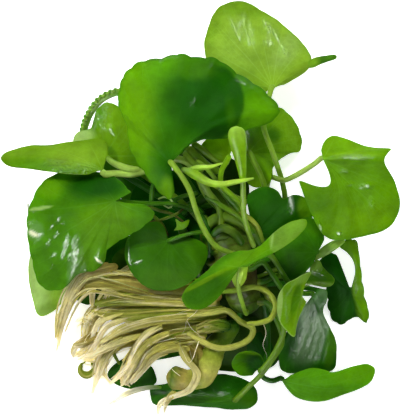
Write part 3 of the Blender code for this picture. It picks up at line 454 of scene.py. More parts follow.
    "dark_leaf_middle": Look("dark", "deep", 7, 0.3, 0.5, patches=(
        ("night", 36, -8, 9, 6, 0, 0.6, 0.4), ("silver", 41.2, 4.5, 0.9, 5, 12, 0.4, 0.6),
        ("bright", 47.5, 1, 3.5, 5.5, 0, 0.3, 0.8),
    ), folds=((40.5, 9, 42.5, -1, 0.8, 0.7),), wet=((41.5, 4, 2, 7, 12, 0.5, 0),)),
    # its Deep green stripe inside the curl is painted shade and its thin Chalky stripe a painted
    # highlight
    "curled_leaf": Look("mid", "chalk", 5, 0.2, 0.3, scallop=0.2, patches=(
        ("bright", 39, -42, 3, 13, -8, 0.5, 0.8), ("deep", 43.5, -40, 1.8, 9, -12, 0.4, 0.8),
        ("chalk", 36, -42, 1, 12, -4, 0.4, 0.7), ("slate", 46, -31, 4, 2.4, 40, 0.5, 0.8),
    ), folds=(
        (42, -33, 37.2, -40, 1.2, 1), (37.2, -40, 38.5, -52, 1.2, 1),
        (47, -30.5, 42, -41, 1, -0.9), (42, -41, 41.5, -53, 1.1, -0.8),
        (48, -36, 44.5, -45, 1.2, 0.9), (43.5, -46, 43, -55, 1, 0.6),
    ), wet=((38, -42, 2.5, 12, -8, 0.5, 0.2),)),
    # its Misty and Silvery green patches are a painted sheen of light on its film of water
    "hanging_leaf": Look("dark", "deep", 7, 0.5, 0.4, scallop=0.3, patches=(
        ("mist", 50, -57, 8, 15, -14, 0.4, 0.9), ("silver", 47, -49, 3, 7, -20, 0.4, 0.3),
        ("mist", 55, -41, 3, 5, -20, 0.5, 0.8), ("deep", 60, -62, 2.6, 12, -6, 0.3, 0.9),
        ("night", 42.5, -60, 3, 10, -20, 0.5, 0.9), ("night", 53, -44.5, 2.6, 6, -30, 0.4, 0.8),
    ), folds=(
        (52, -47, 44, -70, 0.9, 0.5), (54, -49, 47, -72, 0.9, 0.55), (56, -52, 50, -73, 0.9, 0.5),
        (58, -55, 53.5, -74, 0.9, 0.55), (59.5, -58, 57, -74, 1, 0.5),
        (49.5, -44, 43, -62, 0.9, 0.5), (54, -38, 50, -46, 1.2, 0.5),
        (60, -54, 61, -72, 1.2, -0.6),
    ), wet=((51, -57, 8, 15, -14, 0.3, 0.3),)),
    "corner_leaf": Look("fresh", "bright", 5, 0.3, 0.5, light=1.15, patches=(
        ("bright", 72, -76, 9, 4, 10, 0.6, 0.4),
    )),
    "bottom_leaf": Look("dark", "dark", 5, 0.4, 0.5, patches=(
        ("night", 10, -80, 18, 3.5, 0, 0.5, 0.7), ("deep", 22, -87, 4, 4, 0, 0.5, 0.7),
        ("deep", 5, -87, 20, 2.2, -3, 0.5, 0.5),
    ), folds=(
        (-20, -84, 14, -84, 1.6, 0.5), (16, -86, 24, -83, 1.2, 0.5), (19, -90, 25, -87, 1, 0.5),
    ), wet=((4, -84, 20, 2, 0, 0.2, 0.1),)),
    # the Night green inside the cup is painted shade and the thin Bright green along its rim
    # painted light
    "cup_leaf": Look("deep", "fresh", 5, 0.1, 0.2, patches=(
        ("night", 25.5, -71, 4, 5.5, 0, 0.4, 0.95), ("fresh", 17, -70.5, 3, 5, 0, 0.5, 0.7),
        ("bright", 22, -65.3, 6, 1, -5, 0.5, 0.7),
    ), wet=((17, -70, 2, 6, 0, 0.5, 0),)),
    "table_leaf_roots": Look("dark", "deep", 5, 0.3, 0.3),
    "inner_leaf": Look("lime", "bright", 5, 0.1, 0.2, patches=(
        ("moss", 9, 24, 5, 3, 0, 0.5, 0.6),
    )),
    "sprout": Look("bright", "lime", 3, 0.3, 0.1),
}
# The look of the small dark leaves in the shade, a painted shade green
SHADED = Look("shadow", "dark", 5, 0.4, 0.6)

# The rolled tip of the pale leaf: (x, y, z, radius)
TOP_TIP = (
    (45.5, 64.8, 23.2, 0.36), (48.2, 65.2, 24.2, 1.18), (51.1, 66.1, 25, 2), (53, 67, 25.3, 1.95),
    (55.4, 67.7, 25.8, 1.73), (58, 68.3, 26.3, 1.45), (61.1, 69, 27.2, 1.13),
    (62, 69.3, 27.4, 0.73),
)

# A leaf stalk: where it leaves the crown (a place along it, 0 to 1, and a compass direction round
# it, 0 up, 90 right, 270 left), the side of the blade it joins (1 is the upper side), its greens
# from the crown to its blade, the points it passes, and how thick it is beside the others
Stalk = namedtuple("Stalk", "place compass side tones via share", defaults=(1,))

# A stalk's greens are partly painted shade: low in the clump and near the crown it takes the Night,
# Dark or Moss green, and in full light the Stalk or Pale stalk green.
STALKS = {
    "top_leaf": Stalk(0.33, 95, 1, "dark stem", (
        (31, -12, 22.5), (36.5, -4, 22.5), (38.6, 4, 23), (37.3, 12.5, 25.5), (35.3, 18.5, 30.5),
        (32.8, 25.5, 34), (28.6, 38, 36), (30.5, 48, 34.5),
    )),
    "front_leaf": Stalk(0.38, 0, 1, "stem stem", (
        (13, -19.5, 42), (7, -16.5, 47), (1.5, -8.5, 51), (-2, 0, 54), (-4.5, 8, 57),
        (-8.5, 15, 59),
    )),
    "side_leaf": Stalk(0.28, 290, -1, "dark moss", (
        (0, -6, 34), (-8, 3, 31), (-18, 10, 29), (-28, 16.8, 28.5), (-36, 21, 28.5),
    )),
    "shade_leaf": Stalk(0.2, 100, 1, "deep moss", (
        (25.5, -6, 25), (28.3, 2, 29.5), (29.3, 9, 33.4), (27.5, 15, 35), (24.5, 21, 36),
    )),
    "tongue_leaf": Stalk(0.14, 345, -1, "moss pale_stem", (
        (8.5, 1, 38.5), (4, 7, 40.5), (0, 14, 42), (-5, 20.5, 43.5), (-11, 22.5, 44),
        (-20, 19, 43.5), (-30, 15.8, 43), (-38, 16, 44),
    ), 1.3),
    "left_leaf": Stalk(0.22, 315, -1, "night deep", (
        (1, -3.5, 37.5), (-11, 2, 38.5), (-24, 2.5, 42), (-33, 3.2, 46),
    ), 0.8),
    "table_leaf_left": Stalk(0.52, 262, -1, "night moss", (
        (0, -25.5, 17), (-12, -25, 10), (-26, -19, 8.3), (-42, -9, 8), (-54, -10, 8.5),
    ), 0.8),
    "table_leaf_behind": Stalk(0.42, 262, -1, "night dark", (
        (-1, -20, 20), (-14, -18.5, 14.5), (-28, -14, 12),
    )),
    "disc_leaf": Stalk(0.33, 300, 1, "night deep", (
        (3, -11, 39), (-4, -11, 41), (-9.5, -12.5, 41),
    ), 0.75),
    "spoon_leaf": Stalk(0.9, 0, -1, "moss stem", (
        (20.3, -46.2, 35.5), (19.1, -42.6, 41), (17.4, -36.5, 45), (17, -31, 47.5),
    ), 0.8),
    "right_leaf": Stalk(0.28, 118, -1, "deep pale_stem", (
        (27, -8, 20), (30, 2, 19.5), (30.4, 9.5, 20.5), (32, 14.4, 25.5), (35.2, 13.6, 30),
        (38, 13, 33), (45, 16.2, 39.5), (52, 20.8, 44.5),
    )),
    "notched_leaf": Stalk(0.72, 110, -1, "dark dark", (
        (36, -34, 17), (48, -36, 9.5), (60, -38.5, 4.8), (66, -38.5, 6.5),
    )),
    "dark_leaf_right": Stalk(0.52, 95, -1, "dark deep", (
        (33, -22, 24), (44, -22, 26), (50, -20.5, 29),
    )),
    "small_leaf_right": Stalk(0.66, 80, -1, "dark moss", ((34, -30.5, 26), (43, -30.5, 22.5))),
    "curled_leaf": Stalk(0.52, 35, -1, "deep deep", (
        (28, -24, 38.5), (32.5, -29.5, 38), (38, -37, 36), (42, -39, 34),
    )),
    "hanging_leaf": Stalk(0.44, 50, -1, "moss deep", (
        (31, -20.5, 38), (36.5, -28, 36.5), (41, -34.5, 31.5), (46.5, -38.2, 27.5),
    )),
    "corner_leaf": Stalk(0.88, 115, -1, "dark dark", (
        (30.5, -50, 17), (31, -57, 13.5), (31, -66, 12), (28.5, -76.5, 10), (33, -78.8, 9),
    )),
    "bottom_leaf": Stalk(0.86, 90, 1, "deep moss", (
        (34, -49, 22), (37.5, -60, 20.5), (33, -68.5, 19), (27.5, -76, 16.5), (21, -82.5, 13),
    )),
    "cup_leaf": Stalk(0.82, 60, 1, "deep moss", (
        (34, -46, 31), (38, -54, 29), (35.5, -62, 26.5), (31, -69.5, 24),
    )),
    "table_leaf_roots": Stalk(0.96, 195, 1, "dark dark", (
        (17, -54, 12), (8, -60, 9.3), (0, -63.5, 8.2), (-12, -66.8, 8),
    )),
    "inner_leaf": Stalk(0.16, 40, 1, "moss lime", (
        (18.5, 1, 38), (14.5, 6, 41), (9.5, 11, 43.5), (9.6, 17, 44.5), (11.7, 21, 45),
    )),
}

# The rolled young leaves, the shoot, the runners, the rhizome and the roots: (x, y, z, radius)
LINES = {
    "bud": (
        (24.4, -17.3, 41, 1.1), (21.8, -10.5, 46, 1.15), (19.8, -3, 50, 1.2),
        (19.3, 5, 53.5, 1.25), (19.1, 12, 56.5, 1.35), (18.6, 18, 58, 1.8), (17.7, 24, 59.7, 2.6),
        (16.8, 29.5, 61, 3.4), (16.3, 33.2, 61.7, 3.5), (16.1, 35.8, 62, 2.4),
        (16.1, 36.8, 62, 0.8),
    ),
    "pale_lobe": (
        (25.5, -31, 21, 1), (36, -27, 20, 1.1), (46, -24.3, 21, 1.2), (52.5, -22, 24, 1.3),
        (56, -19.5, 26, 2.1), (60.5, -16.6, 27, 2.2), (64, -14.9, 27, 1.4), (65.8, -14.3, 27, 0.5),
    ),
    "beaded_stem": (
        (-53.6, 33.5, 20.5, 1.3), (-52.7, 38, 25, 1.6), (-50.3, 43.5, 29, 1.6),
        (-46.2, 48.8, 32, 1.6), (-41.2, 51.9, 34, 1.6), (-36, 52.8, 35, 1.5), (-29, 50, 36, 1.2),
    ),
    "shoot": (
        (-8.4, 18, 54.5, 1.2), (-3.5, 16, 55.5, 2.1), (1, 13.4, 56, 1.9), (4, 11.8, 56.4, 1.7),
        (9, 11, 57, 1.5), (17, 12.3, 59.8, 1.2), (24, 13.6, 61.5, 0.5),
    ),
    "shoot_prong": (
        (-6.3, 17.2, 55, 0.9), (-1, 18.4, 54.6, 1.3), (4, 18.7, 54.2, 1.1), (10.3, 20.5, 54, 0.4),
    ),
    "stolon_upper": (
        (9.8, -37.5, 30, 1.6), (17, -36.5, 37, 1.6), (25.5, -35.3, 38.5, 1.6), (32, -39, 37, 1.6),
        (34, -44.5, 35, 1.6), (31.8, -49.5, 34, 1.6), (26.5, -51.5, 33, 1.5),
        (21.5, -51.8, 30, 1.2),
    ),
    "stolon_lower": (
        (-6, -48.5, 26, 1.2), (4, -47.3, 28.5, 1.6), (12, -46, 30, 1.8), (18.3, -51, 27, 1.8),
        (24, -54.5, 24.5, 1.8), (22.5, -59, 23, 1.8), (16, -62.5, 22, 1.8), (8, -63.2, 22, 1.9),
        (1, -60.3, 23.5, 1.8), (-6, -56, 24, 1.4),
    ),
    "rhizome": (
        (17, -51.5, 17, 2.5), (13, -56, 16, 3.2), (7, -63, 15, 4), (4, -71, 14, 4.4),
        (1, -77, 13, 4.2), (-6, -78, 13.5, 3.6), (-12, -77, 14, 4.2), (-15.5, -76.5, 14, 2.8),
    ),
    "root_far": (
        (7, -35.5, 22, 3), (-8, -37, 23, 4.2), (-26, -35.5, 24, 4.4), (-41, -33, 24, 4.3),
        (-50.5, -33, 23.5, 4.2), (-57, -38, 19.5, 3.4), (-61.4, -46, 13, 2.6),
        (-64.4, -56, 6.5, 1.5), (-65.6, -65.3, 1.6, 0.5),
    ),
    "root_upper": (
        (9, -42.5, 15.5, 2.5), (-8, -44.8, 14.5, 4), (-26, -45, 14.5, 4.4), (-40, -45.5, 14, 4.4),
        (-48, -50.5, 12, 4), (-50.5, -58, 9, 3.2), (-53, -64.5, 5, 2.2), (-58.5, -66.5, 1.5, 0.7),
    ),
    "root_middle": (
        (12, -48.8, 10.5, 2), (-4, -51.8, 8, 3.6), (-20, -55.2, 6.5, 4), (-33, -58.5, 5.6, 3.8),
        (-42.5, -64, 4.6, 3), (-46.2, -73, 3, 1.9), (-49.5, -84.5, 0.9, 0.5),
    ),
    "root_lower": (
        (3, -56, 19, 1.8), (-9, -57.6, 18.5, 3.2), (-20, -60.2, 16.5, 3.4),
        (-27.5, -65.5, 13.5, 3.3), (-32.5, -72.5, 9.5, 2.7), (-36.8, -80.5, 5, 1.2),
    ),
    "root_white": (
        (-9, -61.9, 24, 1.2), (-6.5, -68, 24, 1.5), (-1.5, -74.5, 22.5, 1.4),
        (-4.5, -82.2, 17, 1.2), (-13, -86.3, 9.5, 1), (-18.2, -89.4, 4.5, 0.8),
        (-19.6, -94.6, 1, 0.4),
    ),
    "root_grey": (
        (-18.2, -81.6, 8, 0.9), (-25, -82.3, 6, 1), (-33, -84.6, 4, 1.1), (-42.1, -90.2, 1.2, 0.5),
    ),
}

# Each bundle's number of roots and where they end: x, y, z of the tip, and between which shares of
# the bundle's line they part from it
ROOT_TIPS = {
    "root_far": (15, (
        (-65.6, -65.3, 1.6, 0.93, 0.97), (-64, -57, 5, 0.8, 0.9), (-65.6, -60, 4, 0.85, 0.92),
        (-63.8, -58, 6, 0.85, 0.92), (-66, -52, 8, 0.75, 0.85), (-64.8, -62, 3, 0.85, 0.95),
    )),
    "root_upper": (30, (
        (-58.5, -66.5, 1.5, 0.88, 0.96), (-55.5, -53.5, 9, 0.55, 0.65), (-54.8, -51, 11, 0.5, 0.6),
        (-53.6, -58, 8, 0.6, 0.75), (-57, -69, 1.6, 0.85, 0.92), (-52, -61, 6, 0.7, 0.8),
        (-50, -68, 3, 0.8, 0.9), (-56, -51.5, 13, 0.5, 0.6), (-52, -53, 12, 0.5, 0.62),
    )),
    "root_middle": (30, (
        (-49.5, -84.5, 0.9, 0.93, 0.97), (-41.5, -80, 1.5, 0.7, 0.8), (-48, -79, 2, 0.85, 0.92),
        (-53.7, -70, 2, 0.7, 0.8), (-44.5, -77.5, 2, 0.8, 0.88), (-50, -72.5, 2.5, 0.75, 0.85),
    )),
    "root_lower": (24, (
        (-35.5, -80.2, 4.5, 0.9, 0.97), (-41, -79, 2.5, 0.6, 0.75), (-33, -81.2, 4.5, 0.85, 0.95),
        (-30.5, -77, 8, 0.8, 0.9), (-38, -78.5, 4, 0.7, 0.85), (-28, -74, 10, 0.7, 0.85),
    )),
}

# Single roots that stand out: their tones from start to tip, how flat they are (1 is round), and
# the points that each passes with its radius there
SINGLE_ROOTS = (
    ("umber sand cream", 0.6, (
        (-37.2, -25.9, 27, 1.81), (-45.3, -27.7, 28, 2.72), (-52.2, -29.9, 27, 2.7),
        (-57.2, -36.8, 23, 2.1), (-60.6, -44.5, 18, 1.6), (-63.3, -53.2, 10, 1.2),
        (-65.9, -64.5, 2.5, 0.46),
    )),
    ("umber sand cream", 0.8, (
        (-51.8, -32.7, 25, 1.36), (-58.8, -41, 19, 1.37), (-63.7, -48.1, 12, 1.01),
        (-65.6, -51.9, 8.5, 0.73), (-64.4, -57, 6, 0.37),
    )),
    ("sand sand", 1, (
        (-46.3, -28.6, 26, 1.36), (-48.7, -34.6, 23, 1.27), (-49.2, -40.1, 20, 1.09),
        (-49.3, -45.2, 17, 0.73),
    )),
    ("straw straw sand", 1, (
        (-41.8, -28.6, 25.5, 1.54), (-40.9, -34.6, 23, 1.55), (-42.4, -40.6, 20, 1.28),
        (-46.5, -45.2, 18, 0.73),
    )),
    ("straw sand", 1, ((-45, -30, 24, 0.82), (-43.7, -36, 22, 0.82), (-46.5, -41.5, 20, 0.64))),
    ("umber umber straw", 0.4, (
        (-16, -26.9, 20, 3.19), (-24.6, -27.8, 21, 4.1), (-31.9, -30.5, 21, 4.55),
        (-37.4, -36, 19, 3.65), (-41.1, -41.6, 16, 2.28),
    )),
    ("umber straw straw", 0.5, (
        (10, -40, 24, 2.27), (-2.3, -39.6, 23, 3.18), (-17.3, -38.7, 22, 3.64),
        (-31, -40.1, 20, 3.19), (-42, -42.9, 17.5, 2.28), (-48.9, -45.7, 15, 0.91),
    )),
    ("olive olive straw", 0.5, (
        (12.7, -46.3, 25, 2.27), (0, -47.8, 23, 3.18), (-13.7, -48.2, 22, 3.64),
        (-28.3, -48.3, 20, 3.65), (-42, -47.9, 18, 2.51), (-49.8, -46.6, 16.5, 1.1),
    )),
    ("olive straw sand", 0.5, (
        (9.1, -53.3, 21, 2.28), (-3.6, -54.3, 19, 3.19), (-18.3, -55.7, 17.5, 3.65),
        (-32, -57.1, 15, 3.2), (-43.1, -60.5, 12, 1.83),
    )),
    ("straw straw sand", 0.6, (
        (2.7, -58.8, 20, 2.28), (-8.2, -58.8, 18.5, 3.19), (-20.1, -61.7, 15.5, 2.74),
        (-29.3, -65, 12, 1.83),
    )),
    ("straw sand cream cream", 1, (
        (-30.5, -49.4, 20, 0.4), (-36, -51.2, 20.6, 1), (-42.4, -53.8, 19, 1.28),
        (-46.6, -59.9, 14.5, 1.19), (-51.4, -66.6, 8, 0.73), (-53.3, -68.5, 6, 0.32),
    )),
    ("straw sand cream cream", 1, (
        (-34.5, -47.4, 20.5, 0.4), (-40, -49.2, 21, 0.9), (-46.5, -52.4, 19, 1.09),
        (-49.4, -59, 14, 0.91), (-51.4, -64.2, 10, 0.46),
    )),
    ("straw sand cream", 1, (
        (-27.6, -51.4, 19.5, 0.4), (-33, -52.8, 19.8, 1), (-39.7, -56.6, 17, 1.28),
        (-44, -62.8, 12, 1.1), (-46.9, -69.4, 7, 0.83), (-48.3, -75.5, 4, 0.32),
    )),
    ("umber umber sand", 0.8, (
        (-45.7, -57.2, 14.5, 1.83), (-50.8, -59.5, 13.5, 2.01), (-55, -61.9, 11.5, 1.83),
        (-58.2, -62.4, 10.5, 1.28),
    )),
    ("sand cream", 1, (
        (-56.8, -62.3, 11, 1.28), (-58.3, -65.6, 8.5, 1.01), (-57.9, -68.5, 6.5, 0.37),
    )),
    ("straw sand cream", 1, (
        (-26.4, -57.4, 20, 1.37), (-36.1, -60.3, 17.5, 1.55), (-43.9, -64, 14.5, 1.46),
        (-50.4, -67.4, 10, 1.1), (-53.7, -68.4, 8, 0.46),
    )),
    ("straw sand cream cream", 0.9, (
        (-36.6, -61.8, 13, 1.37), (-42.7, -67.4, 10, 1.83), (-45.5, -74, 7, 1.47),
        (-48.3, -80.6, 4, 0.92), (-50, -85.3, 1.8, 0.28),
    )),
    ("olive olive olive", 1, (
        (-52.6, -70.2, 2.4, 0.4), (-55, -72.3, 2, 0.5), (-55.1, -75, 1.9, 0.8),
        (-52.8, -76.6, 1.9, 1.3), (-50.2, -75.7, 2, 1.2), (-49.1, -73, 2.1, 0.8),
        (-50.2, -70.6, 2.4, 0.5),
    )),
    ("moss olive", 1, ((-40.9, -62, 8, 0.83), (-39.1, -67.6, 6, 0.83), (-36.4, -72.3, 4, 0.64))),
    ("straw sand cream cream", 1, (
        (-17.3, -52.7, 23.5, 1.36), (-24.1, -56.4, 22.5, 1.55), (-28.7, -62, 19.5, 1.55),
        (-31.6, -69.1, 14.5, 1.37), (-36.3, -75.7, 9, 1.01), (-41.6, -81, 5, 0.32),
    )),
    ("straw straw sand cream", 1, (
        (-13.6, -55.9, 23.5, 1.36), (-21.8, -59.6, 22.5, 1.64), (-26.9, -64.3, 19.5, 1.64),
        (-30.6, -71.3, 14.5, 1.55), (-34, -77.1, 9, 1.28), (-36.3, -81.4, 5.5, 0.46),
    )),
    ("straw straw sand cream", 1, (
        (-8.2, -61.8, 23.5, 1.36), (-16.8, -62.8, 22.5, 1.73), (-22.8, -66.1, 19.5, 1.73),
        (-27, -72.3, 13.5, 1.56), (-31.7, -78, 8.5, 1.19), (-34.5, -80.9, 6, 0.46),
    )),
    ("straw sand cream", 1, (
        (-4.6, -63.6, 22.5, 1.37), (-12.3, -63.6, 21.5, 1.82), (-19.8, -66.4, 18.5, 1.7),
        (-25.4, -72.4, 13, 1.3), (-30.2, -78.4, 8, 0.92), (-31.8, -80.6, 6.5, 0.32),
    )),
    ("olive umber olive", 0.6, (
        (-11, -55.7, 18, 3.65), (-5, -60.7, 16.5, 4.57), (-0.9, -66.7, 15, 4.57),
        (1.4, -74.7, 12, 3.66),
    )),
    ("straw straw olive", 0.5, (
        (7.7, -42.7, 24, 1.36), (-6.8, -41.8, 24.5, 2.27), (-21.8, -40.9, 24, 2.95),
        (-35.9, -40.5, 23, 3.18), (-48.4, -43.4, 18, 1.37),
    )),
    ("straw straw sand", 0.6, (
        (2.3, -48.6, 24, 1.36), (-10, -49.6, 24, 1.82), (-22.7, -51.4, 23, 1.82),
        (-34.6, -55.1, 20, 1.55), (-45.7, -61.2, 16, 1.01),
    )),
    # a short cut stem, its end painted the Night green as painted shade in its hollow
    ("straw olive olive moss night", 0.8, (
        (-1.8, -55, 23, 1.36), (2.3, -53.6, 25, 2.45), (6.4, -52.9, 26, 2.72),
        (10.4, -53.1, 26, 2.72), (14.1, -53.8, 25, 2.36),
    )),
    ("straw sand cream", 0.8, (
        (-11, -83.8, 12, 1.37), (-13.3, -85.8, 9.5, 1.19), (-15.6, -89.2, 6.5, 0.92),
        (-16.6, -94, 2.5, 0.37),
    )),
)

# Bases of older stalks, thin tendrils and brown scraps between the crown and the leaves, told the
# same way. Those deep in the clump are painted in the night green, as painted shade.
INNER_STEMS = (
    ("stem moss moss", 1, (
        (-5.8, 27.8, 45, 1.79), (-1.3, 23.4, 43, 2.02), (3.1, 19.3, 41, 2.02),
        (8.6, 16.7, 38, 1.8),
    )),
    ("moss stem moss", 1, (
        (-3.6, 29.6, 44, 1.57), (2.2, 25.6, 42, 1.8), (8.1, 22.1, 40, 1.8), (13.1, 20.7, 38, 1.58),
    )),
    ("stem moss", 1, ((-7.2, 25.6, 46, 1.34), (-3.1, 20.6, 44, 1.57), (1.3, 16.6, 42, 1.57))),
    ("fresh deep dark", 1, (
        (-28.4, 49.6, 35.5, 1.17), (-22.5, 41.5, 37, 1.17), (-15.3, 30.2, 36, 1.08),
        (-7.2, 15.8, 33, 1.08), (2.3, 1.4, 28, 1.09),
    )),
    ("dark deep dark", 1, ((-6.3, 0.9, 29, 1.81), (0, 3.6, 31, 2.26), (5.9, 8.6, 32, 1.81))),
    ("dark deep", 1, ((-2.7, -2.3, 28, 1.36), (1.4, 1.4, 30, 1.81), (6.3, 2.7, 30, 1.81))),
    ("bulb moss bulb", 0.7, (
        (5.9, -14, 33, 1.81), (9.9, -11.3, 35, 2.71), (14.9, -12.2, 34, 2.26),
    )),
    ("stem moss deep", 1, (
        (-0.9, 13.9, 41, 1.17), (1.4, 8.6, 39, 1.35), (4.5, 4.1, 37, 1.35), (8.6, 0, 35, 1.35),
    )),
    ("night dark night", 1, (
        (10, -7.8, 19, 1.37), (0, 1.8, 17.5, 1.37), (-10, 5.9, 17, 1.37), (-19.6, 8.2, 17, 1.19),
    )),
    ("moss pale_stem pale_stem", 1, (
        (-42.2, 23.3, 44, 1.08), (-38.6, 20.6, 44.5, 1.44), (-33.2, 18.4, 44.5, 1.53),
        (-26.9, 17.5, 43.5, 1.26),
    )),
    ("ash ash", 1, ((-77.7, 2.7, 34, 0.32), (-77.4, -0.5, 34.5, 0.45), (-76.7, -3.6, 35, 0.32))),
    ("moss bulb dark", 1, ((2.3, -2.7, 33, 1.58), (2.7, -8.6, 31, 1.81), (4.5, -15.9, 28, 1.81))),
    ("deep bulb dark", 1, ((20.8, -2.3, 31, 1.45), (19.5, -8.6, 30, 1.81), (20, -16.8, 27, 1.81))),
    ("olive bulb olive", 1, (
        (16.3, -35.8, 29, 1.36), (23.6, -34, 27, 1.81), (30, -37.7, 25, 1.82),
        (31.9, -43.2, 22, 1.37),
    )),
    ("bulb moss bulb dark", 0.8, (
        (1.4, -14.9, 31, 1.54), (3.2, -7.7, 35, 2.53), (9.9, -3.6, 37, 2.8), (18, -5.9, 36, 2.89),
        (24.9, -11.3, 33, 2.44), (28.6, -18.6, 28, 1.59),
    )),
    ("dark bulb deep", 0.8, (
        (5.4, -12.2, 36, 1.44), (9.9, -8.6, 39, 1.98), (14.9, -10.4, 39, 2.07),
        (19.4, -16.2, 36, 1.62),
    )),
    ("bulb olive moss", 1, (
        (12.6, 0.9, 36, 0.72), (19.8, -2.3, 38, 0.99), (25.7, -7.7, 36, 1.08),
        (28.5, -15.4, 31, 0.91),
    )),
    ("moss stem moss", 1, (
        (-8.6, 28.5, 30, 0.41), (-4.5, 24.4, 32, 0.59), (0, 21.2, 33, 0.68), (5.9, 19, 32, 0.54),
    )),
    ("deep moss deep", 1, (
        (2.2, 5.9, 40, 0.99), (9.9, 1.3, 41, 1.17), (18, -4.1, 39, 1.17), (24.4, -11.3, 35, 0.99),
    )),
    ("night dark night", 0.8, (
        (2.7, -10.4, 27, 2.27), (2.7, -16.8, 25, 2.73), (5.5, -24.1, 22, 2.73),
        (10.9, -28.7, 20, 2.28),
    )),
    ("moss deep moss", 1, (
        (7.2, 13.9, 42, 1.35), (10.8, 7.6, 41, 1.62), (16.2, 1.4, 38, 1.8), (20.8, -5.9, 34, 1.63),
    )),
    ("deep moss deep", 1, ((3.6, 11.3, 37, 1.8), (9, 4.1, 35, 2.26), (14.5, -4.1, 32, 2.26))),
    ("moss stem moss", 1, (
        (-5.8, 21.1, 44, 0.9), (0, 15.7, 42, 1.08), (9.9, 8.6, 38, 1.17), (21.7, 2.7, 33, 1.18),
    )),
    ("stem moss", 1, ((-1.8, 22, 46, 0.9), (2.7, 18.4, 45, 0.99), (7.2, 13, 43, 0.99))),
    ("dark deep dark", 1, ((-20.7, 13.1, 38, 1.08), (-21.7, 7.2, 34, 1.08), (-22.2, 0.5, 30, 1))),
    ("dark deep deep", 1, ((-12.6, 3.6, 35, 0.9), (-7.2, 5.9, 36, 0.99), (-0.9, 7.2, 36, 0.9))),
    ("night dark night", 1, (
        (-36.2, 16.8, 30, 1.36), (-27.2, 11.3, 28, 1.54), (-15.9, 4.1, 26, 1.54),
        (-4.5, -3.2, 26, 1.36),
    )),
    ("dark deep dark", 1, ((-8.1, -2.3, 34, 0.99), (-3.6, 1.4, 34, 1.08), (1.8, -2.3, 32, 1.36))),
    ("chalk pale", 1, ((-21.2, 12.2, 40, 0.41), (-18, 8.6, 40, 0.41), (-13.1, 5.4, 39, 0.23))),
    ("slate chalk chalk", 1, (
        (-18.9, 4.5, 36, 0.36), (-15.8, 5.4, 38, 0.45), (-12.6, 3.6, 38, 0.45),
        (-13.5, 0.5, 37, 0.45), (-16.7, 1.8, 37, 0.23),
    )),
    ("bark bulb bark", 1, (
        (-28, 0.5, 33, 0.63), (-22.6, -2.3, 34, 0.81), (-17.2, -6.8, 34, 0.72),
        (-14.5, -12.2, 33, 0.45),
    )),
    ("bulb bark", 1, (
        (-25.3, 2.3, 34, 0.54), (-19, -0.5, 35, 0.72), (-12.6, -2.3, 35, 0.63),
        (-7.2, -5.9, 35, 0.36),
    )),
    ("bark bulb bark", 1, (
        (-22.6, -5.9, 33, 0.45), (-16.3, -4.5, 35, 0.63), (-9.9, -1.8, 36, 0.63),
        (-6.3, 1.4, 36, 0.32),
    )),
    ("night bark night", 1, (
        (-9.1, -5.9, 30, 1.81), (-6.3, -14.1, 28, 2.27), (-1.8, -24.1, 24, 2.27),
        (0, -32.4, 20, 1.82),
    )),
)

# White side roots: the points that each passes
ROOTLETS = (
    (
        (5.9, -40.8, 30), (1.4, -42.5, 31), (-4.1, -45.3, 30), (-10.9, -47.6, 29),
        (-18.1, -49.9, 27), (-25.9, -54.6, 23),
    ),
    (
        (0.9, -43, 31), (-2.7, -47.5, 30.5), (-5.9, -50.3, 30), (-6.8, -54.4, 29),
        (-8.6, -57.6, 28), (-9.1, -61.2, 27.5), (-7.3, -65.8, 27), (-5, -69.9, 26.5),
        (-3.2, -67.6, 27), (-1.8, -63.5, 27.5), (-0.5, -59.9, 28),
    ),
    ((-5.9, -50.7, 30), (-3.6, -54.4, 29.5), (-1.4, -56.2, 29), (1.4, -58.9, 28)),
    ((-9, -76, 22), (-12.5, -73, 24), (-14, -70, 24)),
    ((-52, -52, 17), (-57, -51.5, 16), (-60.5, -53.5, 14)),
    ((-50, -50, 18), (-55, -49.5, 17), (-58, -52.5, 15)),
    ((-28, -63, 18), (-32, -70, 14), (-37, -76, 9)),
    ((-22, -62, 20), (-26, -69, 17), (-31, -75, 12)),
    ((28.5, -51.2, 30), (29.9, -56.2, 29), (28.6, -61.7, 27), (30.4, -66.8, 25), (30, -70.6, 22)),
    ((-48, -51, 18), (-53, -47, 18), (-57.5, -49.5, 16.5)),
    ((-49, -53, 17), (-54, -50, 17), (-59, -52.5, 14.5)),
    ((-47, -54, 17), (-52, -59, 15), (-54, -66, 11)),
    ((-45, -56, 17), (-50, -62, 13), (-53, -68.5, 8)),
    ((-43, -51, 19), (-49, -57, 16), (-52.5, -64, 12)),
    ((-11, -58.5, 24), (-22, -62, 22), (-27, -70, 16), (-32, -76, 9)),
    ((-24, -51, 19), (-36, -54, 17), (-46, -60, 12), (-52, -65, 8)),
)


def linear(code):
    """A hex colour turned to the linear numbers that a shader takes."""
    shares = [int(code[k:k + 2], 16) / 255 for k in (1, 3, 5)]
    return tuple(s / 12.92 if s <= 0.04045 else ((s + 0.055) / 1.055) ** 2.4 for s in shares)


def colour(name, code, description):
    """A colour that the panel shows as a swatch."""
    return bpy.props.FloatVectorProperty(
        name=name, description=description, subtype="COLOR", size=3, min=0, max=1,
        default=linear(code),
    )


def size(name, millimetres, description):
    """A length that the panel shows in the scene's own unit."""
    return bpy.props.FloatProperty(
        name=name, description=description, subtype="DISTANCE", unit="LENGTH", min=0,
        default=millimetres * MM, precision=5,
    )


class PlantSizes(bpy.types.PropertyGroup):
    """Sizes that the eye would notice."""

    blade: size("Blade thickness", 0.7, "How thick a leaf blade is away from its rim")
    stalk: size("Stalk radius", 1.25, "Half the thickness of a leaf stalk")
    strand: size("Root radius", 0.8, "Half the thickness of one root where it leaves the crown")
    rootlet: size("Rootlet radius", 0.15, "Half the thickness of a white side root")
    bead: size("Bead radius", 0.95, "Half the thickness of one bead on the arched stem")


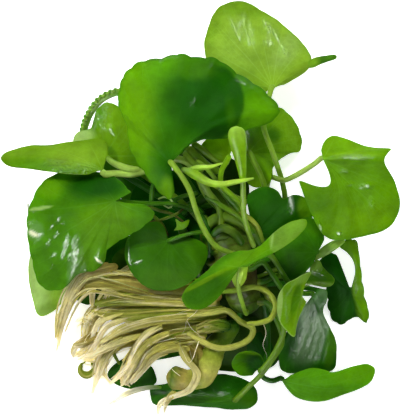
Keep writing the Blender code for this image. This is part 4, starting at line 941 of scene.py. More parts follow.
class PlantColours(bpy.types.PropertyGroup):
    """The greens and creams of the living plant."""

    # Some of these greens are lit and shaded copies of one green, used as painted light and shade:
    # Shadow and Night green are painted shade, and Dark and Deep green serve as painted shade in
    # patches too; Moss green is a stalk's painted half shade and Stalk green its painted full
    # light; Bright green is painted light coming through a blade; Chalky green and Cream are also
    # painted in thin stripes as painted highlights on some blades.
    shadow: colour("Shadow green", "#2c4a10", "Small leaves deep in the clump")
    night: colour("Night green", "#164908", "Blades in the shade of the clump")
    dark: colour("Dark green", "#26600a", "Old blades")
    deep: colour("Deep green", "#3c700c", "Thick blades in full light")
    fresh: colour("Fresh green", "#4e8d0f", "Grown blades")
    bright: colour("Bright green", "#64990f", "Blades with light behind them")
    mid: colour("Soft green", "#739f29", "The soft green of young blades")
    lime: colour("Lime green", "#7bab12", "The youngest blades")
    pale: colour("Pale green", "#96bf41", "The underside of a blade")
    chalk: colour("Chalky green", "#a8c672", "A dry pale underside")
    # painted sheen: the light off a film of water, painted into the green of some blades
    wet: colour("Wet green", "#66914b", "Green under a film of water")
    # painted sheen: the light off a film of water on a dark blade, painted into its green
    mist: colour("Misty green", "#607d55", "Dark green under a film of water")
    # a brighter painted sheen, used also for thin painted highlights
    silver: colour("Silvery green", "#8fa088", "Dark green under more water")
    slate: colour("Grey green", "#769c41", "A young blade's underside")
    moss: colour("Moss green", "#5f8619", "Stalks in half shade")
    stem: colour("Stalk green", "#7fa52c", "Stalks in full light")
    pale_stem: colour("Pale stalk green", "#98ba4a", "Swollen and water-filled stalks")
    yellow: colour("Yellow green", "#a9d03a", "Shoots")
    olive: colour("Olive", "#8f9f30", "Runners")
    bulb: colour("Bulb green", "#4f6c18", "The crown's young end")
    bark: colour("Brown olive", "#3a3413", "The crown's old leaf scars")
    straw: colour("Straw", "#bdb95a", "Roots near the crown")
    sand: colour("Sand", "#d6d098", "Thin young roots")
    umber: colour("Umber", "#ae9f4c", "Older roots and dry scraps")
    ash: colour("Ash", "#b4b79c", "A root with water in it")
    cream: colour("Cream", "#f6f1da", "Root tips")
    floor: colour("Floor", "#fdfdfd", "The pale table")


def spacing(points):
    """How far along a curve each of its points comes, closer points counting for more."""
    marks = [0.0]
    for here, there in zip(points, points[1:]):
        marks.append(marks[-1] + math.sqrt(math.dist(here[:3], there[:3])))
    return marks


def slope(before, here, after, gap_before, gap_after):
    """How fast one coordinate changes at the middle one of three points."""
    whole = (after - before) / (gap_before + gap_after)
    return (here - before) / gap_before - whole + (after - here) / gap_after


def on_curve(points, place, marks=None):
    """A smooth curve through points, at place 0 to 1 along them. Points may carry a radius."""
    marks = marks or spacing(points)
    at = place * marks[-1]
    span = max(k for k in range(len(points) - 1) if k == 0 or marks[k] <= at)
    width = marks[span + 1] - marks[span]
    t = (at - marks[span]) / width
    values = []
    for axis, (start, end) in enumerate(zip(points[span], points[span + 1])):
        leave = arrive = (end - start) / width
        if span > 0:
            leave = slope(points[span - 1][axis], start, end, marks[span] - marks[span - 1], width)
        if span + 2 < len(points):
            after = marks[span + 2] - marks[span + 1]
            arrive = slope(start, end, points[span + 2][axis], width, after)
        rise = end - start
        values.append(
            start + t * width * leave
            + t * t * (3 * rise - width * (2 * leave + arrive))
            + t * t * t * (width * (leave + arrive) - 2 * rise)
        )
    return tuple(values)


def cross_section(line, place, behind=0.0):
    """Where a line is at a place, its radius there, and the directions beside and above it."""
    *here, radius = on_curve(line, place)
    ahead = Vector(on_curve(line, min(place + NEAR, 1))[:3])
    ahead -= Vector(on_curve(line, place - behind)[:3])
    beside = ahead.cross(Vector((0, 0, 1))).normalized()
    return Vector(here), radius, beside, beside.cross(ahead).normalized()


def widened(line, share):
    """A line of (x, y, z, radius) with every radius taken times a share."""
    return [(x, y, z, r * share) for x, y, z, r in line]


def face_direction(joint, edge):
    """The way the upper side of a blade faces, from its joint and its edge."""
    ring = [Vector(joint)] + [Vector(p) for p in edge]
    total = Vector()
    for here, there in zip(ring, ring[1:] + ring[:1]):
        total += (here - ring[0]).cross(there - ring[0])
    total.normalize()
    return -total if total.z < 0 else total


def ray_middles(leaf):
    """The point half way from the joint to each point of the edge, swollen or bent aside."""
    joint = Vector(leaf.joint)
    rise = leaf.swell * face_direction(leaf.joint, leaf.edge)
    longest = max((Vector(p) - joint).length for p in leaf.edge)
    middles = []
    for number, point in enumerate(leaf.edge):
        ray = Vector(point) - joint
        middles.append(leaf.bends.get(number, joint + ray / 2 + rise * ray.length / longest))
    return middles


def crown_exit(place, compass):
    """Where a stalk leaves the crown, and which way."""
    middle = on_curve(CROWN_LINE, place)
    ahead = on_curve(CROWN_LINE, min(place + NEAR, 1))
    behind = on_curve(CROWN_LINE, max(place - NEAR, 0))
    axis = Vector(ahead[:3]) - Vector(behind[:3])
    axis.normalize()
    right = axis.cross(Vector((0, 0, -1))).normalized()
    up = right.cross(axis)
    if up.z < 0:
        up = -up
    if right.x < 0:
        right = -right
    turn = math.radians(compass)
    away = math.sin(turn) * right + math.cos(turn) * up
    return Vector(middle[:3]) + away * (middle[3] + CROWN_GAP), away


def blank_sheet(name, columns, rows):
    """A flat sheet of quads whose vertices are laid on a surface afterwards."""
    bpy.ops.object.select_all(action="DESELECT")
    bpy.ops.mesh.primitive_grid_add(
        x_subdivisions=columns, y_subdivisions=rows, size=1, calc_uvs=True
    )
    piece = bpy.context.object
    piece.name = piece.data.name = name
    return piece


def numbers(data, key, width=1):
    """What every element of a mesh holds under one key, as rows of numbers."""
    values = np.empty(len(data) * width, np.float32)
    data.foreach_get(key, values)
    return values.reshape(len(data), width)


def lay(piece, places, **notes):
    """Moves each vertex to the place of its column and row, and keeps notes of numbers there."""
    mesh = piece.data
    steps = (places.shape[0] - 1, places.shape[1] - 1)
    at = np.rint((numbers(mesh.vertices, "co", 3)[:, :2] + 0.5) * steps).astype(int)
    mesh.vertices.foreach_set("co", (places[at[:, 0], at[:, 1]] * MM).astype(np.float32).ravel())
    for name, values in notes.items():
        note(piece, name, values[at[:, 0], at[:, 1]])
    mesh.update()


def note(piece, name, values):
    """A number, direction or colour kept at every vertex for the materials to read."""
    values = np.asarray(values, np.float32)
    kinds = {1: ("FLOAT", "value"), 3: ("FLOAT_VECTOR", "vector"), 4: ("FLOAT_COLOR", "color")}
    kind, key = kinds[1 if values.ndim == 1 else values.shape[1]]
    kept = piece.data.attributes.get(name) or piece.data.attributes.new(name, kind, "POINT")
    kept.data.foreach_set(key, values.ravel())


def sew(outward=False):
    """Closes the poles and the seam of the active sheet, which has been laid round on itself."""
    bpy.ops.object.mode_set(mode="EDIT")
    bpy.ops.mesh.select_all(action="SELECT")
    bpy.ops.mesh.remove_doubles(threshold=0.01 * MM)
    if outward:
        bpy.ops.mesh.normals_make_consistent(inside=False)
    bpy.ops.object.mode_set(mode="OBJECT")


def apply_modifier(piece, kind, **settings):
    """Adds a modifier, sets it up and applies it."""
    modifier = piece.modifiers.new(kind.lower(), kind)
    for name, value in settings.items():
        setattr(modifier, name, value)
    bpy.context.view_layer.objects.active = piece
    bpy.ops.object.modifier_apply(modifier=modifier.name)


def joined(pieces, name):
    """Several pieces made into one."""
    bpy.ops.object.select_all(action="DESELECT")
    for piece in pieces:
        piece.select_set(True)
    bpy.context.view_layer.objects.active = pieces[0]
    bpy.ops.object.join()
    pieces[0].name = pieces[0].data.name = name
    return pieces[0]


def tone(name):
    """One of the plant's colours, as the panel has it."""
    return np.array(getattr(bpy.context.scene.heart_colours, name))


def ramp(values, start, stop):
    """0 before start, 1 after stop and a soft step between."""
    share = np.clip((values - start) / (stop - start), 0, 1)
    return share * share * (3 - 2 * share)


def wander(places, size_mm, seed):
    """A soft random number from -1 to 1 for every place, changing over size_mm."""
    flat = places.reshape(-1, 3) / size_mm + seed * 7.3
    return np.array([noise.noise(Vector(p)) for p in flat]).reshape(places.shape[:-1])


def patch_share(x, y, patch):
    """How much of a patch of another green each point takes."""
    _, middle_x, middle_y, wide, tall, turn, softness, share = patch
    left, right = softness if isinstance(softness, tuple) else (softness, softness)
    turn = math.radians(turn)
    across = ((x - middle_x) * math.cos(turn) + (y - middle_y) * math.sin(turn)) / wide
    up = ((y - middle_y) * math.cos(turn) - (x - middle_x) * math.sin(turn)) / tall
    softness = left + (right - left) * ramp(across, -0.5, 0.6)
    return share * ramp(-np.hypot(across, up), -1 - softness, -1 + softness)


def fold_share(x, y, fold):
    """How much of a fold's height each point has."""
    x0, y0, x1, y1, half_width, _ = fold
    run, rise = x1 - x0, y1 - y0
    along = np.clip(((x - x0) * run + (y - y0) * rise) / (run * run + rise * rise), 0, 1)
    away = np.hypot(x - x0 - along * run, y - y0 - along * rise)
    return np.exp(-((away / half_width) ** 2)) * (0.35 + 0.65 * np.sin(math.pi * along))


def blade_surface(leaf, columns, rows):
    """The middle surface of a blade, as rays out from its joint, and the length of its margin."""
    joint = np.array(leaf.joint, float)
    marks = spacing(leaf.edge)
    middles = ray_middles(leaf)
    edge = np.array([on_curve(leaf.edge, k / columns, marks) for k in range(columns + 1)])
    middle = np.array([on_curve(middles, k / columns, marks) for k in range(columns + 1)])
    out = np.linspace(0, 1, rows + 1)[None, :, None]
    places = (1 - out) * (1 - 2 * out) * joint + 4 * out * (1 - out) * middle[:, None]
    places = places + out * (2 * out - 1) * edge[:, None]
    return places, np.linalg.norm(np.diff(edge, axis=0), axis=1).sum()


def blade_relief(leaf, look, seed, places, reach, along):
    """How far each point of a blade moves for its teeth, ripples, crumples and folds."""
    up = np.array(face_direction(leaf.joint, leaf.edge))
    outward = places - np.array(leaf.joint, float)
    outward -= (outward @ up)[:, None] * up
    outward /= np.maximum(np.linalg.norm(outward, axis=1), 0.1)[:, None]
    teeth = np.abs(np.sin(math.pi * along / TOOTH_SPACING + seed)) ** 0.7 - 0.6
    push = look.scallop * teeth * ramp(reach, 0.7, 1.0)
    waves = np.sin(2 * math.pi * (along / RIPPLE_LENGTH + seed * 0.37))
    lift = look.ripple * reach ** 3 * waves
    for size_mm, height, other_seed, full_at in CRUMPLES:
        crumple = wander(places, size_mm, seed + other_seed)
        lift += height * look.crumple * crumple * ramp(reach, 0, full_at)
    for fold in look.folds:
        lift += FOLD_HEIGHT * fold[5] * fold_share(places[:, 0], places[:, 1], fold)
    # no crease grows at the joint, where every ray begins
    lift *= ramp(reach, 0, 0.15)
    return push[:, None] * outward + lift[:, None] * up


def blade_colours(look, x, y, out):
    """The green of every vertex of a blade, with the light and shade that its patches paint into
    it.
    """
    greens = np.tile(tone(look.tone), (len(x), 1))
    for patch in look.patches:
        share = patch_share(x, y, patch)[:, None]
        greens = greens * (1 - share) + tone(patch[0]) * share
    rim = 0.45 * ramp(out, 0.955, 0.995)[:, None]
    greens = (greens * (1 - rim) + tone(look.rim) * rim) * look.light
    return np.hstack([greens, np.ones((len(x), 1))])


def blade_water(look, x, y):
    """How wet every vertex of a blade is, and how much the water glitters there."""
    wet, glitter = np.zeros(len(x)), np.zeros(len(x))
    for *place, water, sparkle in look.wet:
        share = patch_share(x, y, ("", *place, 0.5, 1.0))
        wet, glitter = np.maximum(wet, water * share), np.maximum(glitter, sparkle * share)
    for fold in look.folds:
        # water stays on the crest of a high fold
        if fold[5] > DRY_FOLD:
            wet = np.maximum(wet, ramp(fold_share(x, y, fold), 0.2, 0.6))
    return wet, glitter


def make_blade(name):
    """A living blade: a fanned sheet, thickened and rounded at its rim, rippled and creased."""
    leaf, look, seed = BLADES[name], LOOKS.get(name, SHADED), list(BLADES).index(name)
    columns, rows = 3 * (len(leaf.edge) - 1), 12
    piece = blank_sheet(f"{name}_blade", columns, rows)
    places, length = blade_surface(leaf, columns, rows)
    out = np.tile(np.linspace(0, 1, rows + 1), (columns + 1, 1))
    along = np.tile(np.linspace(0, length, columns + 1)[:, None], (1, rows + 1))
    lay(piece, places, out=out, along=along, breadth=out * length / look.veins)
    # the first direction of the map counts the veins, the second runs out along them
    rays = piece.data.uv_layers[0].data
    fan = numbers(rays, "uv", 2) * (look.veins, 1)
    rays.foreach_set("uv", fan.astype(np.float32).ravel())
    sew()
    middle = piece.vertex_groups.new(name="middle")
    for number, reach in enumerate(numbers(piece.data.attributes["out"].data, "value")[:, 0]):
        middle.add([number], 1 - float(reach) ** 4, "REPLACE")
    apply_modifier(
        piece, "SOLIDIFY", thickness=bpy.context.scene.heart_sizes.blade, offset=0,
        vertex_group="middle", thickness_vertex_group=0.45,
    )
    apply_modifier(piece, "SUBSURF", levels=2, render_levels=2)
    mesh = piece.data
    co = numbers(mesh.vertices, "co", 3).astype(float) / MM
    reach, along = (numbers(mesh.attributes[key].data, "value")[:, 0] for key in ("out", "along"))
    x, y = co[:, 0], co[:, 1]
    # the blade's green with its painted light and shade, kept for the material to read
    note(piece, "pigment", blade_colours(look, x, y, reach))
    for key, values in zip(("wet", "glitter"), blade_water(look, x, y)):
        note(piece, key, values)
    co += blade_relief(leaf, look, seed, co, reach, along)
    mesh.vertices.foreach_set("co", (co * MM).astype(np.float32).ravel())
    mesh.update()
    return piece


def resampled(line, step):
    """A line of (x, y, z, radius) taken at even steps, with closer ones at its round ends."""
    dense = np.array([on_curve(line, k / 300) for k in range(301)])
    gone = np.linalg.norm(np.diff(dense[:, :3], axis=0), axis=1)
    gone = np.concatenate([[0], np.cumsum(gone)])
    length = gone[-1]
    first, last = max(line[0][3], 0.15), max(line[-1][3], 0.15)
    count = max(3, round((length - first - last) / step))
    marks = np.concatenate([
        first * np.array([0, 0.04, 0.15, 0.4, 0.7]),
        np.linspace(first, length - last, count),
        length - last * np.array([0.7, 0.4, 0.15, 0.04, 0]),
    ])
    taken = np.stack([np.interp(marks, gone, dense[:, axis]) for axis in range(4)], axis=1)
    # each end closes as half a ball
    near = np.minimum(marks / first, (length - marks) / last)
    taken[:, 3] *= np.sqrt(np.clip(1 - (1 - np.clip(near, 0, 1)) ** 2, 0, 1))
    return taken, marks, length


def make_stem(name, line, colours, sides=12, step=1.2, relief=None, flat=1.0):
    """A round stem along a line of (x, y, z, radius); relief(marks, turn, length) swells it.

    colours(share, turn) gives the green at a share of its length; flat squeezes it downwards.
    """
    taken, marks, length = resampled(line, step)
    piece = blank_sheet(name, len(taken) - 1, sides)
    ahead = np.gradient(taken[:, :3], axis=0)
    ahead /= np.linalg.norm(ahead, axis=1)[:, None]
    normal = Vector((0, 0, 1))
    normals = []
    for direction in ahead:
        normal = normal - normal.dot(Vector(direction)) * Vector(direction)
        if normal.length < 0.05:
            normal = Vector((1, 0.3, 0)).cross(Vector(direction))
        normal.normalize()
        normals.append(normal.copy())
    normals = np.array(normals)[:, None]
    beside = np.cross(ahead, normals[:, 0])[:, None]
    turn = np.linspace(0, 2 * math.pi, sides + 1)[None, :]
    radius = taken[:, 3][:, None] * (1 + (relief(marks[:, None], turn, length) if relief else 0))
    # the seam lies underneath
    outward = -np.cos(turn)[..., None] * normals * flat + np.sin(turn)[..., None] * beside
    places = taken[:, None, :3] + outward * radius[..., None]
    marks, turn = np.broadcast_arrays(marks[:, None], turn)
    # the fibres' own map: round the stem and along it
    round_place = np.stack([np.cos(turn), np.sin(turn), marks / FIBRE_UNIT], axis=2)
    greens = colours(marks / length, turn)
    pigment = np.concatenate([greens, np.ones(greens.shape[:2] + (1,))], axis=2)
    lay(piece, places, pigment=pigment, round=round_place)
    sew(outward=True)
    return piece


def blend_tones(*stops):
    """Colours along a stem from stops of (share of its length, tone)."""
    shares, names = zip(*stops)
    tones = np.array([tone(name) for name in names])

    def colours(share, turn):
        return np.stack([np.interp(share, shares, tones[:, k]) for k in range(3)], axis=2)

    return colours


def even_tones(names):
    """Colours along a stem from tones that follow each other at even distances."""
    return blend_tones(*zip(np.linspace(0, 1, len(names)), names))


def add_node(tree, kind, settings=None):
    """Adds a node with its settings; a node, or an output of one, is linked into the socket."""
    node = tree.nodes.new(f"ShaderNode{kind}")
    for key, value in (settings or {}).items():
        if isinstance(value, bpy.types.Node):
            value = value.outputs[0]
        if isinstance(value, bpy.types.NodeSocket):
            tree.links.new(value, node.inputs[key])
        elif isinstance(key, int) or key in node.inputs:
            node.inputs[key].default_value = value
        else:
            setattr(node, key, value)
    return node


def blank_nodes(owner):
    """Empties the nodes of a material or a world and returns what adds new ones to it."""
    owner.use_nodes = True
    owner.node_tree.nodes.clear()
    return partial(add_node, owner.node_tree)


def mottled(add, green, shades, spread, saturation=1.0):
    """A green that soft noise turns lighter and darker."""
    value = add("MapRange", {0: shades, 1: 0.3, 2: 0.7, 3: 1 - spread, 4: 1 + spread})
    return add("HueSaturation", {"Saturation": saturation, "Value": value, "Color": green})


def wet_skin(add, green, relief, rough, film, through, gloss, glow_value, glow_saturation):
    """Tissue under a film of water, with light coming through it."""
    skin = add("BsdfPrincipled", {
        "Base Color": green, "Roughness": rough, "IOR": 1.42, "Specular IOR Level": gloss,
        "Coat Weight": film, "Coat Roughness": 0.06, "Coat IOR": 1.33, "Normal": relief,
        "Coat Normal": relief,
    })
    glow = add("HueSaturation", {
        "Saturation": glow_saturation, "Value": glow_value, "Color": green,
    })
    shine = add("BsdfTranslucent", {"Color": glow, "Normal": relief})
    add("OutputMaterial", {0: add("MixShader", {0: through, 1: skin, 2: shine})})


# A living blade's finish: how rough it is under the water on it, how much water lies on it, how
# much light comes through it, how pale its veins are, and how deep (mm) its veins and cells show
BLADE_FINISHES = {
    "leaf_fresh": (0.45, 0.0, 0.22, 0.16, 0.08, 0.24),
    "leaf_mid": (0.50, 0.0, 0.24, 0.16, 0.08, 0.20),
    "leaf_dark": (0.45, 0.0, 0.15, 0.08, 0.06, 0.24),
    "leaf_deep": (0.48, 0.0, 0.12, 0.12, 0.08, 0.20),
    "leaf_pale": (0.50, 0.0, 0.22, 0.16, 0.08, 0.26),
    "leaf_yellow": (0.45, 0.05, 0.30, 0.08, 0.05, 0.10),
}


def blade_tissue(material, finish):
    """Living leaf tissue, as it grew and wet from the water.

    A waxy cuticle gives a soft sheen and the film of water on it sharp sparks of light. Veins fan
    out from the joint as paler lines, the cells between them bulge, and light shines through.
    """
    rough, water, through, vein_share, vein_height, cell_height = BLADE_FINISHES[finish]
    add = blank_nodes(material)
    place = add("TexCoord").outputs["Object"]
    pigment = add("Attribute", {"attribute_name": "pigment"}).outputs["Color"]
    breadth, wet, glitter = (
        add("Attribute", {"attribute_name": name}).outputs["Fac"]
        for name in ("breadth", "wet", "glitter")
    )
    split = add("SeparateXYZ", {0: add("UVMap", {"uv_map": "UVMap"})})
    count, out = split.outputs[0], split.outputs[1]
    # main veins about 0.6 mm wide, which fade towards the margin
    aside = add("Math", {"operation": "PINGPONG", 0: count, 1: 0.5})
    aside = add("Math", {"operation": "MULTIPLY", 0: aside, 1: breadth})
    main = add("MapRange", {
        "interpolation_type": "SMOOTHSTEP", 0: aside, 1: 0.12, 2: 0.5, 3: 1.0, 4: 0.0,
    })
    fade = add("MapRange", {0: out, 1: 0.35, 2: 1.0, 3: 1.0, 4: 0.25})
    main = add("Math", {"operation": "MULTIPLY", 0: main, 1: fade})
    # side veins about 0.35 mm wide, three for each main one, which slant away from it
    slant = add("Math", {"operation": "MULTIPLY", 0: out, 1: 2.0})
    slant = add("Math", {"operation": "MULTIPLY_ADD", 0: count, 1: 3.0, 2: slant})
    aside = add("Math", {"operation": "PINGPONG", 0: slant, 1: 0.5})
    third = add("Math", {"operation": "DIVIDE", 0: breadth, 1: 3.0})
    aside = add("Math", {"operation": "MULTIPLY", 0: aside, 1: third})
    side = add("MapRange", {
        "interpolation_type": "SMOOTHSTEP", 0: aside, 1: 0.05, 2: 0.3, 3: 0.6, 4: 0.0,
    })
    fade = add("MapRange", {0: out, 1: 0.15, 2: 0.45, 3: 0.0, 4: 1.0})
    side = add("Math", {"operation": "MULTIPLY", 0: side, 1: fade})
    veins = add("Math", {"operation": "MAXIMUM", 0: main, 1: side})
    # the smallest veins make a net with meshes 2.6 mm across, coarser than a real blade's so that
    # it shows, and the green bulges between them
    net = add("TexVoronoi", {
        "feature": "DISTANCE_TO_EDGE", "Vector": place, "Scale": 1 / (2.6 * MM),
    })
    bulge = add("MapRange", {
        "interpolation_type": "SMOOTHSTEP", 0: net, 1: 0.0, 2: 0.3, 3: 0.0, 4: 1.0,
    })
    # the green changes softly every 9 mm
    spots = add("TexNoise", {
        "Vector": place, "Scale": 1 / (9 * MM), "Detail": 4.0, "Roughness": 0.62,
    })
    green = mottled(add, pigment, spots, 0.18, 1.06)
    lines = add("MapRange", {0: bulge, 1: 0.0, 2: 1.0, 3: 0.3, 4: 0.0})
    lines = add("Math", {"operation": "MAXIMUM", 0: lines, 1: veins})
    lines = add("Math", {"operation": "MULTIPLY", 0: lines, 1: vein_share})
    pale = add("HueSaturation", {"Saturation": 0.85, "Value": 1.8, "Color": green})
    green = add("Mix", {"data_type": "RGBA", 0: lines, 6: green, 7: pale}).outputs[2]
    # drops and swollen cells, about 1.6 mm across, stand up where the blade is wettest
    drops = add("TexNoise", {
        "Vector": place, "Scale": 1 / (1.6 * MM), "Detail": 1.0, "Roughness": 0.5,
    })
    share = add("MapRange", {0: glitter, 1: 0.0, 2: 1.0, 3: 0.1, 4: 3.2})
    drops = add("Math", {"operation": "MULTIPLY", 0: drops, 1: share})
    lumps = add("Math", {"operation": "MULTIPLY_ADD", 0: bulge, 1: 0.2, 2: drops})
    relief = add("Bump", {"Strength": 1.0, "Distance": cell_height * MM, "Height": lumps})
    relief = add("Bump", {
        "Strength": 1.0, "Distance": vein_height * MM, "Height": veins, "Normal": relief,
    })
    # the film of water breaks into streaks about 1.5 mm wide and 6 mm long
    long = add("Mapping", {
        "Vector": place, "Rotation": (0, 0, -0.3),
        "Scale": (1 / (1.5 * MM), 1 / (6 * MM), 1 / (3 * MM)),
    })
    streaks = add("TexNoise", {"Vector": long, "Scale": 1.0, "Detail": 2.0})
    broken = add("MapRange", {0: streaks, 1: 0.38, 2: 0.55, 3: 0.25, 4: 1.0})
    film = add("Math", {"operation": "MULTIPLY", 0: wet, 1: broken})
    film = add("MapRange", {0: film, 1: 0.0, 2: 1.0, 3: water, 4: 1.0})
    wet_skin(add, green, relief, rough, film, through, 0.01, 1.7, 1.1)


# A stem's finish: roughness, water on it, light through it, how strongly its fibres show as lighter
# and darker lines, how deep (mm) they are, how high its lumps are and how far apart (mm)
STEM_FINISHES = {
    "stalk": (0.34, 0.06, 0.14, 0.10, 0.08, 0.10, 1.5),
    "rhizome": (0.42, 0.05, 0.08, 0.22, 0.12, 0.30, 1.4),
    "root": (0.45, 0.04, 0.42, 0.12, 0.08, 0.12, 0.9),
    "leaf_yellow": (0.30, 0.18, 0.25, 0.10, 0.06, 0.06, 2.0),
    "leaf_mid": (0.34, 0.30, 0.12, 0.10, 0.06, 0.12, 1.0),
}


def stem_tissue(material, finish):
    """Living stem or root tissue, as it grew and wet from the water.

    Fibres run along it as fine lighter and darker lines, and the film of water draws a bright line
    of light along its top.
    """
    rough, water, through, fibre_share, fibre_height, lump_height, lump_size = STEM_FINISHES[finish]
    add = blank_nodes(material)
    place = add("TexCoord").outputs["Object"]
    pigment = add("Attribute", {"attribute_name": "pigment"}).outputs["Color"]
    turn = add("Attribute", {"attribute_name": "round"}).outputs["Vector"]
    # about seven fibres show on the half of a stem that is seen, each 2.7 mm long, coarser than
    # real ones so that they show
    fibres = add("TexNoise", {"Vector": turn, "Scale": 2.2, "Detail": 3.0, "Roughness": 0.65})
    # and the whole stem turns lighter and darker every 5 mm
    spots = add("TexNoise", {
        "Vector": place, "Scale": 1 / (5 * MM), "Detail": 3.0, "Roughness": 0.6,
    })
    green = mottled(add, mottled(add, pigment, spots, 0.16), fibres, fibre_share)
    lumps = add("TexNoise", {
        "Vector": place, "Scale": 1 / (lump_size * MM), "Detail": 2.0, "Roughness": 0.5,
    })
    relief = add("Bump", {"Strength": 1.0, "Distance": lump_height * MM, "Height": lumps})
    relief = add("Bump", {
        "Strength": 1.0, "Distance": fibre_height * MM, "Height": fibres, "Normal": relief,
    })
    wet_skin(add, green, relief, rough, water, through, 0.02, 1.6, 1.0)


def living(tissue, finish):
    """The material of a tissue and finish, made the first time it is asked for."""
    name = f"wet_living_{finish}_{'blade' if tissue is blade_tissue else 'stem'}"
    material = bpy.data.materials.get(name)
    if not material:
        material = bpy.data.materials.new(name)
        tissue(material, finish)
    return material


def hand_over(piece, slot, *nodes, tissue=stem_tissue, finish=None):
    """Gives a finished piece its tissue and lets it stand for its nodes of the frame."""
    piece.data.materials.clear()
    piece.data.materials.append(living(tissue, finish or slot))
    bpy.ops.object.select_all(action="DESELECT")
    piece.select_set(True)
    bpy.context.view_layer.objects.active = piece
    bpy.ops.object.shade_smooth()
    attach(piece, "root")
    if nodes:
        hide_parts(*nodes)


class HEART_OT_blades(bpy.types.Operator):
    """Adds every leaf blade"""

    bl_idname = "heart.blades"
    bl_label = "Leaf blades"

    def execute(self, context):
        for name, leaf in BLADES.items():
            piece = make_blade(name)
            if name == "top_leaf":
                # its tip is rolled into a dark narrow tongue
                greens = blend_tones((0, "mid"), (0.42, "mid"), (0.6, "deep"), (1, "deep"))
                tongue = make_stem("rolled_tip", TOP_TIP, greens, sides=20, step=0.7, flat=0.7)
                piece = joined([piece, tongue], "top_leaf_blade")
            nodes = (name,) if name in LEAVES else ()
            hand_over(piece, leaf.slot, *nodes, tissue=blade_tissue)
        return {"FINISHED"}


def stalk_course(name):
    """A stalk's line from inside the crown to the middle of its blade, closing the solids' gaps."""
    leaf, stalk = LEAVES[name], STALKS[name]
    radius = bpy.context.scene.heart_sizes.stalk / MM * stalk.share
    start, away = crown_exit(stalk.place, stalk.compass)
    side = stalk.side * face_direction(leaf.joint, leaf.edge)
    joint = Vector(leaf.joint)
    line = [(*(start - away * 2.2), radius * 1.5), (*start, radius * 1.25)]
    line += [(*(start + away * 2.5), radius * 1.02)]
    line += [(*point, radius * (0.96 if k % 2 else 1.0)) for k, point in enumerate(stalk.via)]
    line += [(*(joint + side * (0.4 + BLADE_GAP + radius) * 0.8), radius), (*joint, radius * 0.9)]
    return line


class HEART_OT_stalks(bpy.types.Operator):
    """Adds every leaf stalk, from the crown to its blade"""

    bl_idname = "heart.stalks"
    bl_label = "Leaf stalks"

    def execute(self, context):
        for name, stalk in STALKS.items():
            low, high = stalk.tones.split()
            greens = blend_tones((0, "olive"), (0.12, low), (0.55, high), (1, high))
            piece = make_stem(f"{name}_petiole", stalk_course(name), greens, sides=14)
            hand_over(piece, "stalk", f"{name}_stalk")
        bases = [
            make_stem(f"inner_{number}", line, even_tones(tones.split()), flat=flat)
            for number, (tones, flat, line) in enumerate(INNER_STEMS)
        ]
        hand_over(joined(bases, "inner_stems"), "stalk")
        return {"FINISHED"}


class HEART_OT_young_leaves(bpy.types.Operator):
    """Adds the rolled young leaves and the forked shoot"""

    bl_idname = "heart.young_leaves"
    bl_label = "Young leaves"

    def execute(self, context):
        def rolled(marks, turn, length):
            # the overlapping edge of the roll winds slowly round it
            edge = np.cos(turn - 2.2 - 0.8 * marks / length)
            return -0.16 * ramp(edge, 0.86, 1.0) * ramp(marks / length, 0.5, 0.75)

        def pleated(marks, turn, length):
            return 0.2 * np.cos(4 * turn + 3 * marks / length) * ramp(marks / length, 0.02, 0.2)

        line = [(x, y, z, r * (1.14 if r > 1.5 else 1)) for x, y, z, r in LINES["bud"]]
        greens = blend_tones(
            (0, "stem"), (0.5, "stem"), (0.62, "lime"), (0.85, "lime"), (1, "pale")
        )
        bud = make_stem("bud_leaf", line, greens, sides=24, step=0.8, relief=rolled)
        hand_over(bud, "leaf_yellow", "bud")
        tips = blend_tones(
            (0, "moss"), (0.12, "lime"), (0.5, "yellow"), (0.85, "yellow"), (1, "pale")
        )
        parts = [
            make_stem(name, widened(LINES[name], 0.85), tips, sides=18, step=0.7, relief=pleated)
            for name in ("shoot", "shoot_prong")
        ]
        hand_over(joined(parts, "young_shoot"), "leaf_yellow", "shoot")
        line = (
            (16.6, -35.4, 44.8, 0.81), (16.9, -33.8, 45.8, 1.79), (17.3, -31.4, 47, 2.78),
            (17.6, -28.2, 48.2, 3.22), (17.9, -25.5, 48.6, 3.49), (18.1, -23.3, 48.4, 3.13),
        )
        greens = blend_tones((0, "stem"), (0.2, "yellow"), (1, "yellow"))
        sheath = make_stem(
            "spoon_sheath", line, greens, sides=24, step=0.7, relief=pleated, flat=0.4
        )
        hand_over(sheath, "leaf_yellow")
        greens = blend_tones((0, "moss"), (0.6, "stem"), (0.8, "slate"), (1, "pale"))
        lobe = make_stem(
            "pale_young_leaf", LINES["pale_lobe"], greens, sides=18, step=0.8, relief=rolled,
            flat=0.75,
        )
        hand_over(lobe, "leaf_pale", "pale_lobe", finish="leaf_yellow")
        return {"FINISHED"}


